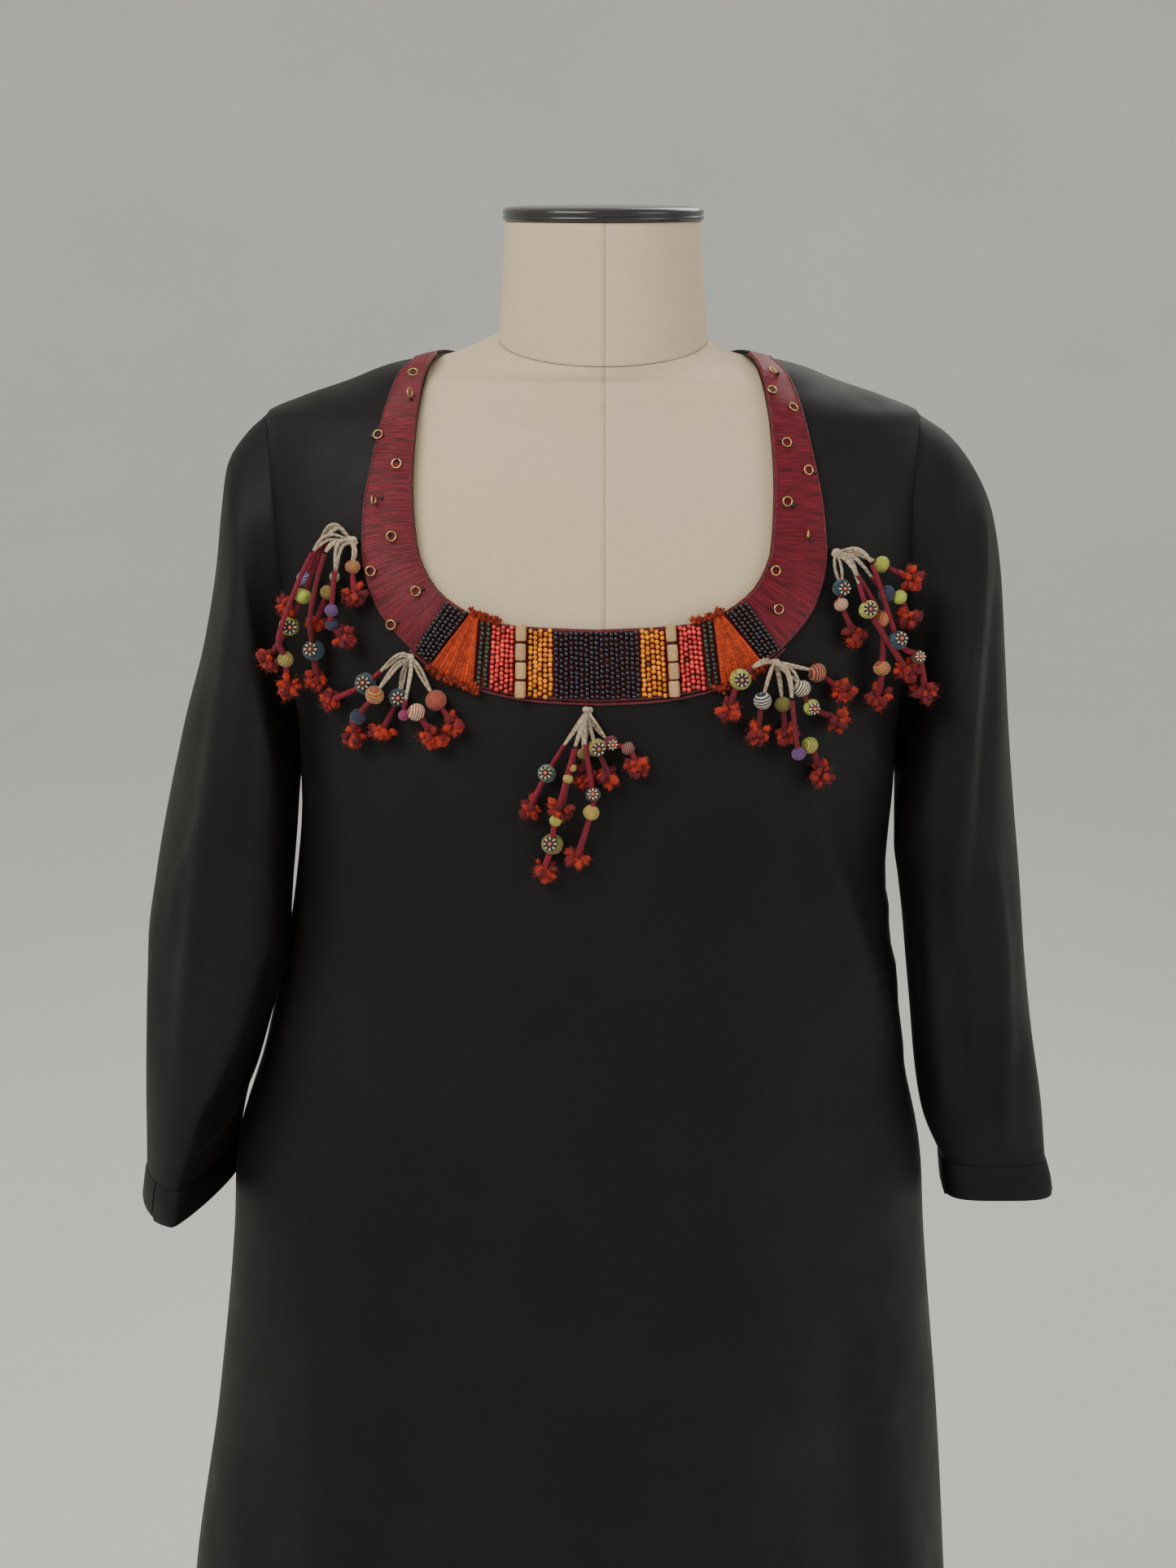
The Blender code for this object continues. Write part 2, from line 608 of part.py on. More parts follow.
def half_panel(side, face, folds):
    inner, outer = panel_rows(side, face)
    if face == FRONT:
        bottom = evenly(hem_line(side, face), FRONT_COLUMNS)
        top = evenly(shoulder_seam(side), FRONT_COLUMNS)
    else:
        bottom = evenly(hem_line(side, face), BACK_NECK_COLUMNS + BACK_SHOULDER_COLUMNS)
        neck = evenly(back_neck_line(side), BACK_NECK_COLUMNS)
        top = np.concatenate([neck[:-1], evenly(shoulder_seam(side), BACK_SHOULDER_COLUMNS)])
    points = patch(inner, outer, bottom, top)
    rows, columns = points.shape[:2]
    shaped = shaped_cloth(points.reshape(-1, 3), face, folds)
    return shaped.reshape(rows, columns, 3)


def panel(name, face, folds, joined_rows, finish):
    """A whole panel: two halves that share their middle column up to the neckline."""
    points, quads = [], []
    shared = {}
    for _, side in SIDES:
        half = half_panel(side, face, folds)
        rows, columns = half.shape[:2]
        index = np.zeros((rows, columns), int)
        for r in range(rows):
            for c in range(columns):
                if c == 0 and r in shared:
                    index[r, c] = shared[r]
                    continue
                if c == 0 and r < joined_rows:
                    shared[r] = len(points)
                index[r, c] = len(points)
                points.append(half[r, c])
        for r in range(rows - 1):
            for c in range(columns - 1):
                quads.append([index[r, c], index[r, c + 1], index[r + 1, c + 1], index[r + 1, c]])
    points = np.array(points)
    flat = points.copy()
    flat[:, 1] -= face * GAP / 2
    return wall(name, points, points + CLOTH * normals(flat), quads, finish)


# Sleeves and cuffs


def oval_size(angles, roundness):
    """What an angle's cosine and sine are divided by to reach a rounded oval."""
    powers = np.abs(np.cos(angles)) ** roundness + np.abs(np.sin(angles)) ** roundness
    return powers ** (1 / roundness)


def ring(angles, outer, inner, front, side_y, back, turn, skew, roundness):
    """A slanted oval through an outer and an inner point (x, z) of the front view."""
    outer, inner = np.asarray(outer), np.asarray(inner)
    size = oval_size(angles, roundness)
    out, ahead = np.cos(angles) / size, np.sin(angles) / size
    middle, reach = (outer + inner) / 2, (outer - inner) / 2
    x = middle[0] + reach[0] * out - np.sign(middle[0]) * turn * ahead
    y = side_y - skew * out + ahead * np.where(ahead > 0, front - side_y, side_y - back)
    z = middle[1] + reach[1] * out
    return np.stack([x, y, z], axis=1)


def outline(rows, z):
    rows = sorted(rows)
    return float(smooth([row[0] for row in rows], [row[1] for row in rows], z))


def cuff_ring(angles, name, side, lower):
    """The sleeve's lowest ring, or one further down the cuff."""
    cuff = CUFFS[name]
    z = cuff["bottom_z"] + CUFF_HEIGHT - lower
    outer = (side * outline(SLEEVE_OUTER[name], z), z)
    inner = (side * outline(SLEEVE_INNER[name], z), z)
    return ring(
        angles, outer, inner, cuff["front"], cuff["side"], cuff["back"], cuff["turn"],
        cuff["skew"], cuff["roundness"],
    )


def grid_normals(grid, side):
    """Outward directions of a closed tube's grid of rings."""
    along = np.gradient(grid, axis=0)
    around = np.roll(grid, -1, axis=1) - np.roll(grid, 1, axis=1)
    out = np.cross(around, along) * side
    return out / np.linalg.norm(out, axis=2)[:, :, None]


def sleeve(name, side, finish):
    front = evenly(armhole_line(side, FRONT), ARMPIT_TO_SCOOP + ALONG_SCOOP)
    back = evenly(armhole_line(side, BACK), BACK_ARMPIT_TO_TOP)
    armhole = np.concatenate([front[::-1], back[1:-1]])
    front_parts, back_parts = len(front) - 1, len(back) - 1
    angles = np.concatenate(
        [
            np.linspace(0, math.pi, front_parts + 1),
            np.linspace(math.pi, 2 * math.pi, back_parts + 1)[1:-1],
        ]
    )
    away = normals(armhole)
    tangent = np.roll(armhole, -1, axis=0) - np.roll(armhole, 1, axis=0)
    across = np.cross(tangent, away) * -side
    across /= np.linalg.norm(across, axis=1)[:, None]
    seam = armhole + 1.5 * GAP * across + np.array([side * GAP, 0, 0])
    rings = [seam + CLOTH * away]
    for outer_z, inner_z, *shape in SLEEVE_RINGS[name]:
        outer = (side * outline(SLEEVE_OUTER[name], outer_z), outer_z)
        inner = (side * outline(SLEEVE_INNER[name], inner_z), inner_z)
        rings.append(ring(angles, outer, inner, *shape))
    rings.append(cuff_ring(angles, name, side, 0))
    outer_face = np.array(rings)
    inner_face = outer_face - CLOTH * grid_normals(outer_face, side)
    inner_face[0] = seam
    inner_face[-1, :, 2] = outer_face[-1, :, 2]
    rows, columns = outer_face.shape[:2]
    quads = grid_quads(rows, columns, closed=True)
    wall(name + "_sleeve", inner_face.reshape(-1, 3), outer_face.reshape(-1, 3), quads, finish)


def cuff(name, side, finish):
    """A band below the sleeve, open at a narrow slit behind."""
    slit = CUFFS[name]["slit"] * 2 * math.pi
    angles = slit + np.linspace(CUFF_SLIT, 2 * math.pi - CUFF_SLIT, CUFF_COLUMNS)
    levels = (GAP, CUFF_HEIGHT / 2, CUFF_HEIGHT)
    grid = np.array([cuff_ring(angles, name, side, lower) for lower in levels])
    lowered = np.clip(1 - np.arange(CUFF_COLUMNS) / CUFF_STEP_COLUMNS, 0, 1)
    grid[-1, :, 2] -= CUFF_STEP * lowered
    along = np.gradient(grid, axis=0)
    around = np.gradient(grid, axis=1)
    out = np.cross(around, along) * side
    out /= np.linalg.norm(out, axis=2)[:, :, None]
    inner_face = grid - CLOTH * out
    inner_face[:, :, 2] = grid[:, :, 2]
    quads = grid_quads(grid.shape[0], grid.shape[1])
    wall(name + "_cuff", inner_face.reshape(-1, 3), grid.reshape(-1, 3), quads, finish)


# Neck band, binding and what is sewn on the band


def band_lines(side):
    return scoop_line(NECKLINE_ROWS, side), scoop_line(BAND_EDGE_ROWS, side)


def band_points(side, inner_at, outer_at, across):
    """Points on the body between the two edges of the band, as (along, across)."""
    inner_line, outer_line = band_lines(side)
    inner = at_lengths(inner_line, np.asarray(inner_at))
    outer = at_lengths(outer_line, np.asarray(outer_at))
    share = np.asarray(across)[None, :, None]
    points = inner[:, None] * (1 - share) + outer[:, None] * share
    return onto_body(points.reshape(-1, 3)).reshape(points.shape)


def band_crown(across):
    return 1 + BAND_CROWN * np.sin(math.pi * np.asarray(across))


def band_top(across):
    """Height of the band's upper face over the body, at a share of its width."""
    return CLOTH + BAND_LIFT + BAND * band_crown(across)


def neck_band(finish):
    halves = []
    for _, side in SIDES:
        inner_line, outer_line = band_lines(side)
        inner_at = np.linspace(0, lengths(inner_line)[-1] * BAND_SHARE, BAND_PARTS // 2 + 1)
        outer_at = np.linspace(0, lengths(outer_line)[-1] * BAND_SHARE, BAND_PARTS // 2 + 1)
        halves.append(band_points(side, inner_at, outer_at, np.linspace(0, 1, BAND_ACROSS + 1)))
    grid = np.concatenate([halves[0][:0:-1], halves[1]])
    flat = grid.reshape(-1, 3)
    crown = np.tile(band_crown(np.linspace(0, 1, BAND_ACROSS + 1)), len(grid))
    base = CLOTH + BAND_LIFT
    wall(
        "neck_band",
        lifted(flat, base),
        lifted(flat, base + BAND * crown),
        grid_quads(grid.shape[0], grid.shape[1]),
        finish,
    )


def pad(name, side, inner_range, outer_range, height, finish):
    """A raised pad of beadwork or wool on the band."""
    columns = max(2, round((outer_range[1] - outer_range[0]) / PAD_STEP))
    across = np.array(PAD_ACROSS)
    inner_at = np.linspace(*inner_range, columns + 1)
    outer_at = np.linspace(*outer_range, columns + 1)
    if inner_range[0] < 0:
        left = band_points(-1, -inner_at[inner_at < 0], -outer_at[outer_at < 0], across)
        right = band_points(1, inner_at[inner_at >= 0], outer_at[outer_at >= 0], across)
        grid = np.concatenate([left, right])
    else:
        grid = band_points(side, inner_at, outer_at, across)
    flat = grid.reshape(-1, 3)
    base = band_top(np.tile(across, len(grid))) + GAP
    wall(name, lifted(flat, base), lifted(flat, base + height),
         grid_quads(grid.shape[0], grid.shape[1]), finish)


def back_neck_binding(finish):
    """A narrow strip on the back's outer face along the back neckline."""
    halves = []
    for _, side in SIDES:
        line = evenly(back_neck_line(side), BACK_NECK_COLUMNS)
        lower = line.copy()
        lower[:, 2] -= BINDING_DROP
        lower[:, 1] += BINDING_BACK
        lower[:, 0] += side * BINDING_OUT * np.linspace(0, 1, len(line))
        upper, lower = onto_body(line), onto_body(lower)
        lower[-1, 1] = max(lower[-1, 1], BINDING_END_Y)
        upper[-1, 1] = max(upper[-1, 1], BINDING_END_Y)
        halves.append(np.stack([onto_body(upper), onto_body(lower)], axis=1))
    grid = np.concatenate([halves[0][:0:-1], halves[1]])
    grid[:, :, 1] += GAP / 2
    flat = grid.reshape(-1, 3)
    base = CLOTH + GAP + BINDING_LIFT
    wall("back_neck_binding", lifted(flat, base), lifted(flat, base + CLOTH),
         grid_quads(grid.shape[0], 2), finish)


def turned(name, profile, steps, finish):
    """A closed turned solid from (radius, height) points listed from the top down."""
    mesh = bpy.data.meshes.new(name)
    points = [(radius, 0, height) for radius, height in profile]
    mesh.from_pydata(points, [(k, k + 1) for k in range(len(points) - 1)], [])
    mesh.materials.append(finish)
    made = bpy.data.objects.new(name, mesh)
    PARTS.objects.link(made)
    screw = made.modifiers.new("turn", "SCREW")
    screw.steps = screw.render_steps = steps
    screw.use_merge_vertices = True
    screw.merge_threshold = 0.00005
    screw.use_smooth_shade = True
    return made


def bone_string(name, side, finish):
    """Four bone tubes on one thread, laid across the band."""
    ends = band_points(side, [BONE_PLACE[0]], [BONE_PLACE[1]], (0, 1))[0]
    ends = lifted(ends, band_top(0.5) + GAP + BONE_RADIUS)
    half = BONE_LENGTH / 2
    profile = []
    for k in range(BONE_COUNT):
        middle = (BONE_COUNT - 1) / 2 * BONE_SPACING - k * BONE_SPACING
        profile += [
            (THREAD_RADIUS, middle + half),
            (BONE_RIM_RADIUS, middle + half),
            (BONE_RADIUS, middle + half - BONE_RIM),
            (BONE_RADIUS, middle - half + BONE_RIM),
            (BONE_RIM_RADIUS, middle - half),
            (THREAD_RADIUS, middle - half),
        ]
    profile = [(0, profile[0][1])] + profile[1:-1] + [(0, profile[-1][1])]
    made = turned(name, profile, 8, finish)
    axis = Vector(ends[0] - ends[1])
    made.location = (ends[0] + ends[1]) / 2
    made.rotation_euler = axis.to_track_quat("Z", "Y").to_euler()


def band_ring(number, x, z, tilt, sink, finish):
    """A small wire ring that lies or stands on the band."""
    place = onto_body(edge_point(np.array([x - section(z)[0]]), np.array([z]), FRONT))
    reach = RING_WIRE + (RING_RADIUS * math.sin(math.radians(tilt)))
    place_lifted = lifted(place, band_top(0.5) + GAP + reach - sink)[0]
    out = Vector(normals(place)[0])
    bpy.ops.mesh.primitive_torus_add(
        major_segments=8, minor_segments=3, major_radius=RING_RADIUS, minor_radius=RING_WIRE
    )
    made = bpy.context.active_object
    made.name = made.data.name = "ring_%02d" % number
    made.data.materials.append(finish)
    for owner in list(made.users_collection):
        owner.objects.unlink(made)
    PARTS.objects.link(made)
    facing = out.to_track_quat("Z", "Y").to_matrix()
    made.rotation_euler = (facing @ Matrix.Rotation(math.radians(tilt), 3, "Y")).to_euler()
    made.location = place_lifted
    made.data.shade_smooth()


# Tassels


def front_place(x, z, lift):
    """A point at a height over the front's outer face."""
    across = x - float(section(z)[0])
    flat_across = np.clip(across, -TASSEL_REACH, TASSEL_REACH)
    point = lifted(edge_point(np.array([flat_across]), np.array([z]), FRONT), CLOTH + GAP + lift)[0]
    point[0] += across - flat_across
    return point


def strand_stations(root, strand):
    """Centres and radii along a strand: cord, beads and, last, the tuft."""
    knot = front_place(root[0], root[1], KNOT_RADIUS)
    stations = [(knot, CORD_RADIUS)]
    for k, (across, down, radius, lift) in enumerate(strand):
        centre = front_place(root[0] + across / 1000, root[1] + down / 1000, lift / 1000)
        radius = radius / 1000
        towards = centre - stations[-1][0]
        towards = towards / np.linalg.norm(towards)
        if radius < THINNEST_BEAD:
            stations.append((centre, radius))
            continue
        profile = TUFT_PROFILE if k == len(strand) - 1 else BEAD_PROFILE
        for along, share in profile:
            stations.append((centre + towards * radius * along, radius * share))
    return stations


def strand_mesh(bm, stations):
    """A four-sided closed tube of changing thickness."""
    rings = []
    for k, (centre, radius) in enumerate(stations):
        before = stations[max(k - 1, 0)][0]
        after = stations[min(k + 1, len(stations) - 1)][0]
        along = Vector(after - before).normalized()
        side_way = along.cross(Vector((0, 1, 0))).normalized()
        out_way = side_way.cross(along).normalized()
        rings.append(
            [
                bm.verts.new(
                    Vector(centre)
                    + radius * math.cos(a) * side_way
                    + radius * math.sin(a) * out_way
                )
                for a in [2 * math.pi * (n + 0.5) / STRAND_SIDES for n in range(STRAND_SIDES)]
            ]
        )
    for low, high in zip(rings, rings[1:]):
        for n in range(STRAND_SIDES):
            m = (n + 1) % STRAND_SIDES
            bm.faces.new([low[n], low[m], high[m], high[n]])
    bm.faces.new(rings[0][::-1])
    bm.faces.new(rings[-1])


def tassel_cluster(number, root, strands, finish):
    """All strands of a cluster united with their knot into one closed body."""
    name = "tassels_%d" % number
    bm = bmesh.new()
    bmesh.ops.create_uvsphere(bm, u_segments=8, v_segments=5, radius=KNOT_RADIUS)
    knot = front_place(root[0], root[1], KNOT_RADIUS)
    bmesh.ops.translate(bm, vec=knot, verts=bm.verts)
    made = object_from(bm, name, finish, round_shading=False)
    for k, strand in enumerate(strands):
        bm = bmesh.new()
        strand_mesh(bm, strand_stations(root, strand))
        cutter = object_from(bm, "%s_strand_%d" % (name, k + 1), finish, round_shading=False)
        PARTS.objects.unlink(cutter)
        CUTTERS.objects.link(cutter)
        cutter.hide_render = True
        cutter.display_type = "WIRE"
        union = made.modifiers.new("strand_%d" % (k + 1), "BOOLEAN")
        union.operation = "UNION"
        union.object = cutter


# Dress form


def form_torso(finish):
    """A closed loft: its own rows below the bust, the cloth's form less a clearance above."""
    angles = np.linspace(0, 2 * math.pi, FORM_SIDES, endpoint=False)
    rings = []
    for row in FORM_ROWS:
        rings.append(form_ring(angles, *row, 0.0))
    tilt_from = FORM_LEVELS[-3][0]
    for level, less_width, less_depth in FORM_LEVELS:
        centre, half_width, front, back, roundness = (float(v) for v in section(level))
        tilt = NECK_TILT * max(level - tilt_from, 0) / (FORM_TOP_Z - tilt_from)
        rings.append(
            form_ring(angles, level - FORM_DROP, centre, half_width - less_width,
                      front - less_depth, back - less_depth, roundness, tilt)
        )
    neck = (0, NECK_RADIUS, NECK_RADIUS, NECK_RADIUS, 2.0)
    rings.append(form_ring(angles, FORM_TOP_Z, *neck, NECK_TILT))
    bm = bmesh.new()
    loops = [[bm.verts.new(p) for p in points] for points in rings]
    for low, high in zip(loops, loops[1:]):
        for n in range(FORM_SIDES):
            m = (n + 1) % FORM_SIDES
            bm.faces.new([low[n], low[m], high[m], high[n]])
    bm.faces.new(loops[0][::-1])
    bm.faces.new(loops[-1])
    object_from(bm, "form_torso", finish)


def form_ring(angles, height, centre, half_width, front, back, roundness, tilt):
    size = oval_size(angles, roundness)
    x = centre + half_width * np.cos(angles) / size
    y = np.sin(angles) / size
    y = np.where(y < 0, y * front, y * back)
    return np.stack([x, y, height + tilt * y], axis=1)


def form_neck(finish):
    """The neck: its lower edge tilts with the seam, its top is level."""
    bm = bmesh.new()
    bmesh.ops.create_cone(
        bm, cap_ends=True, segments=FORM_SIDES, radius1=NECK_RADIUS, radius2=NECK_TOP_RADIUS,
        depth=NECK_TOP_Z - FORM_TOP_Z,
    )
    bmesh.ops.translate(bm, vec=(0, 0, (NECK_TOP_Z + FORM_TOP_Z) / 2), verts=bm.verts)
    for vert in bm.verts:
        if vert.co.z < (NECK_TOP_Z + FORM_TOP_Z) / 2:
            vert.co.z += NECK_TILT * vert.co.y + GAP
    object_from(bm, "form_neck", finish)


def form_pole(finish):
    bottom, top = BASE_HEIGHT + GAP, FORM_ROWS[0][0] - GAP
    bm = bmesh.new()
    bmesh.ops.create_cone(
        bm, cap_ends=True, segments=POLE_SIDES, radius1=POLE_RADIUS, radius2=POLE_RADIUS,
        depth=top - bottom,
    )
    bmesh.ops.translate(bm, vec=(0, 0, (top + bottom) / 2), verts=bm.verts)
    object_from(bm, "form_pole", finish)


def build():
    silk = material("black_silk", (0.012, 0.011, 0.010), 0.55)
    satin_stitch = material("maroon_satin_stitch", (0.16, 0.012, 0.022), 0.45)
    navy = material("navy_beads", (0.010, 0.014, 0.035), 0.2)
    orange = material("orange_beads", (0.75, 0.22, 0.02), 0.35)
    coral = material("coral_beads", (0.70, 0.09, 0.08), 0.35)
    green = material("green_beads", (0.010, 0.060, 0.030), 0.2)
    wool = material("orange_wool", (0.55, 0.08, 0.01), 0.9)
    black = material("black_beads", (0.010, 0.010, 0.012), 0.2)
    bone = material("bone", (0.60, 0.45, 0.28), 0.5)
    brass = material("brass_wire", (0.60, 0.40, 0.18), 0.3, 1.0)
    yarn = material("tassel_yarn", (0.40, 0.03, 0.02), 0.9)
    linen = material("linen", (0.60, 0.52, 0.41), 0.85)
    lacquer = material("black_lacquer", (0.012, 0.012, 0.013), 0.3)
    iron = material("dark_iron", (0.03, 0.03, 0.032), 0.5, 0.6)

    panel("front", FRONT, FRONT_FOLDS, HEM_TO_ARMPIT + ARMPIT_TO_SCOOP + 1, silk)
    panel("back", BACK, BACK_FOLDS, HEM_TO_ARMPIT + BACK_ARMPIT_TO_TOP + 1, silk)
    for name, side in SIDES:
        sleeve(name, side, silk)
        cuff(name, side, silk)
    neck_band(satin_stitch)
    back_neck_binding(silk)
    pad("navy_beads", 1, (-NAVY_HALF[0], NAVY_HALF[0]), (-NAVY_HALF[1], NAVY_HALF[1]), PAD, navy)
    finishes = {
        "orange_beads": orange,
        "coral_beads": coral,
        "green_beads": green,
        "wool_wedge": wool,
        "black_beads": black,
    }
    for side_name, side in SIDES:
        for kind, inner_from, inner_to, outer_from, outer_to, height in PAD_ROWS:
            pad("%s_%s" % (side_name, kind), side, (inner_from, inner_to), (outer_from, outer_to),
                height, finishes[kind])
        bone_string("%s_bone_beads" % side_name, side, bone)
    for number, (x, z, tilt, sink) in enumerate(BAND_RINGS, start=1):
        band_ring(number, x, z, tilt, sink, brass)
    for number, cluster in enumerate(TASSELS, start=1):
        tassel_cluster(number, cluster["root"], cluster["strands"], yarn)
    form_torso(linen)
    form_neck(linen)
    turned("form_cap", [(radius, CAP_Z + z) for radius, z in CAP_PROFILE], FORM_SIDES, lacquer)
    form_pole(iron)
    turned("form_base", BASE_PROFILE, BASE_SIDES, iron)


for old in list(bpy.data.objects):
    bpy.data.objects.remove(old)
PARTS = collection_named("silk_tunic")
CUTTERS = collection_named("silk_tunic_cutters")
CUTTERS.hide_render = True
build()
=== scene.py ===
"""Looks of a black silk tunic with a beaded scoop neck, worn by a limbless linen dress form.

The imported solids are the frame. Metres, +Z up, the front faces -Y; left and right are the viewer's.
"""

import math

import bmesh
import bpy
import numpy as np
from bpy.props import FloatProperty, FloatVectorProperty, IntProperty, PointerProperty
from mathutils import Matrix, Vector


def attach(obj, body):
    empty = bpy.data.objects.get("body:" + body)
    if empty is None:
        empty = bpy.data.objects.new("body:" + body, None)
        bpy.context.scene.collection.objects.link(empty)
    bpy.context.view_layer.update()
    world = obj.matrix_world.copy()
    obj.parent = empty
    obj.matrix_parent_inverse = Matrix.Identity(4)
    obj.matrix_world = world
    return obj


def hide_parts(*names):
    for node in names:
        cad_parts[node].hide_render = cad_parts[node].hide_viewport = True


bl_info = {
    "name": "Silk tunic on a dress form",
    "version": (1, 0, 0),
    "blender": (4, 5, 0),
    "location": "3D View > Sidebar > Tunic",
    "description": "Makes the cloth, beadwork, tassels and dress form over the packed solids",
    "category": "Object",
}

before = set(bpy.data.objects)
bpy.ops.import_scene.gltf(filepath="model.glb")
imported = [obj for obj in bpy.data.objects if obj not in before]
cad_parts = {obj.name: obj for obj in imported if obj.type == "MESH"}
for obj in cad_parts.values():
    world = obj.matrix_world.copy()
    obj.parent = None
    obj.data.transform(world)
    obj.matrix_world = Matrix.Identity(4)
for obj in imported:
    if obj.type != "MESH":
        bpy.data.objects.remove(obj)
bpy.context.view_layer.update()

# Cloth and seams
CLOTH = 0.0012
GAP = 0.0003
HEM_Z = 0.460
VENT_TOP_Z = 0.924
VENT_OPENING = 0.014
ARMPIT_Z = 1.221
SHOULDER_TIP_Z = 1.428
NECK_POINT_Z = 1.4625
BACK_NECK_Z = 1.446
ARMHOLE_FRONT = 0.056
ARMHOLE_BACK = 0.058
ARMHOLE_ROUNDNESS = 0.8
CORE_Z = 1.25

# Inner face of the worn cloth, level by level:
# height, centre, half_width, front, back, roundness
BODY_ROWS = (
    (0.460, -0.0220, 0.2725, 0.1500, 0.1460, 2.30),
    (0.617, -0.0217, 0.2622, 0.1470, 0.1410, 2.30),
    (0.776, -0.0160, 0.2430, 0.1420, 0.1350, 2.30),
    (0.900, -0.0150, 0.2287, 0.1375, 0.1280, 2.35),
    (0.948, -0.0152, 0.2251, 0.1360, 0.1250, 2.35),
    (1.030, -0.0120, 0.2045, 0.1330, 0.1180, 2.45),
    (1.140, -0.0060, 0.1870, 0.1300, 0.1120, 2.60),
    (1.200, -0.0035, 0.1830, 0.1280, 0.1110, 2.80),
    (1.245, -0.0030, 0.1835, 0.1210, 0.1110, 3.00),
    (1.295, -0.0040, 0.1890, 0.1110, 0.1100, 3.30),
    (1.345, -0.0050, 0.1925, 0.1010, 0.1070, 3.40),
    (1.395, -0.0060, 0.1960, 0.0900, 0.1000, 3.00),
    (1.415, -0.0060, 0.1972, 0.0837, 0.0955, 2.60),
    (1.428, -0.0060, 0.1960, 0.0795, 0.0920, 2.20),
    (1.437, -0.0060, 0.1770, 0.0764, 0.0880, 2.10),
    (1.447, -0.0060, 0.1475, 0.0727, 0.0830, 2.00),
    (1.4565, -0.0060, 0.1225, 0.0688, 0.0765, 2.00),
    (1.4625, -0.0060, 0.0920, 0.0662, 0.0720, 2.00),
    (1.466, -0.0040, 0.0800, 0.0648, 0.0700, 2.00),
    (1.473, 0.0000, 0.0625, 0.0625, 0.0660, 2.00),
)

# Scoop neck and the outer edge of its band, from the centre front to the shoulder seam:
# half_width, height
NECKLINE_ROWS = (
    (0.0000, 1.3178),
    (0.0320, 1.3190),
    (0.0570, 1.3215),
    (0.0775, 1.3300),
    (0.0925, 1.3432),
    (0.1005, 1.3630),
    (0.1025, 1.3950),
    (0.1014, 1.4215),
    (0.0985, 1.4460),
    (0.0945, 1.4600),
    (0.0920, 1.4625),
)
BAND_EDGE_ROWS = (
    (0.0000, 1.2774),
    (0.0300, 1.2788),
    (0.0600, 1.2835),
    (0.0870, 1.2935),
    (0.1100, 1.3105),
    (0.1262, 1.3325),
    (0.1322, 1.3580),
    (0.1310, 1.3800),
    (0.1250, 1.4120),
    (0.1190, 1.4360),
    (0.1120, 1.4525),
    (0.1045, 1.4600),
)

# Soft ridges (height > 0) and troughs of the front and back, as lines in the front view:
# from_x, from_z, to_x, to_z, width, height
FRONT_FOLDS = (
    (0.124, 1.205, 0.192, 1.010, 0.016, 0.0060),
    (0.160, 1.195, 0.214, 1.040, 0.014, -0.0035),
    (0.085, 1.170, 0.105, 0.300, 0.036, 0.0090),
    (0.035, 1.120, 0.030, 0.300, 0.028, -0.0050),
    (-0.030, 1.130, -0.045, 0.300, 0.030, 0.0055),
    (-0.105, 1.150, -0.115, 0.300, 0.036, -0.0055),
    (-0.165, 1.000, -0.200, 0.300, 0.026, 0.0060),
    (0.165, 0.930, 0.178, 0.300, 0.022, -0.0050),
)
BACK_FOLDS = (
    (0.090, 1.250, 0.120, 0.300, 0.034, 0.0080),
    (0.020, 1.150, 0.030, 0.300, 0.026, -0.0050),
    (-0.060, 1.240, -0.075, 0.300, 0.032, 0.0075),
    (-0.140, 1.080, -0.165, 0.300, 0.030, -0.0055),
    (0.180, 0.980, 0.200, 0.300, 0.024, 0.0050),
)

# Rows and columns of the fine cloth grids, and those of the sleeves' solids
HEM_TO_ARMPIT = 55
ARMPIT_TO_SCOOP = 12
ALONG_SCOOP = 40
BACK_ARMPIT_TO_TOP = 40
FRONT_COLUMNS = 40
BACK_NECK_COLUMNS = 16
BACK_SHOULDER_COLUMNS = 16
SOLID_FRONT_PARTS = 13
SOLID_BACK_PARTS = 10
FINER = 3

# Outlines of the sleeves in the front view: height, distance from the middle
SLEEVE_OUTER = {
    "left": (
        (1.428, 0.2020), (1.4176, 0.2150), (1.403, 0.2262), (1.386, 0.2308),
        (1.3465, 0.2355), (1.3063, 0.2418), (1.2239, 0.2631), (1.1384, 0.2801),
        (1.0944, 0.2878), (1.0041, 0.2941), (0.9577, 0.2957), (0.915, 0.3020),
    ),
    "right": (
        (1.428, 0.1900), (1.4200, 0.2048), (1.4055, 0.2182), (1.386, 0.2322),
        (1.3465, 0.2428), (1.3063, 0.2466), (1.2239, 0.2542), (1.1384, 0.2647),
        (1.0497, 0.2755), (1.0041, 0.2845), (0.9577, 0.2889), (0.934, 0.2950), (0.915, 0.2985),
    ),
}
SLEEVE_INNER = {
    "left": (
        (1.221, 0.1850), (1.203, 0.1905), (1.168, 0.1940), (1.118, 0.2010),
        (1.084, 0.2080), (1.031, 0.2205), (0.971, 0.2375), (0.935, 0.2445),
    ),
    "right": (
        (1.221, 0.1795), (1.203, 0.1850), (1.171, 0.1850), (1.129, 0.1900),
        (1.054, 0.1985), (0.987, 0.2075), (0.962, 0.2205), (0.925, 0.2260),
    ),
}
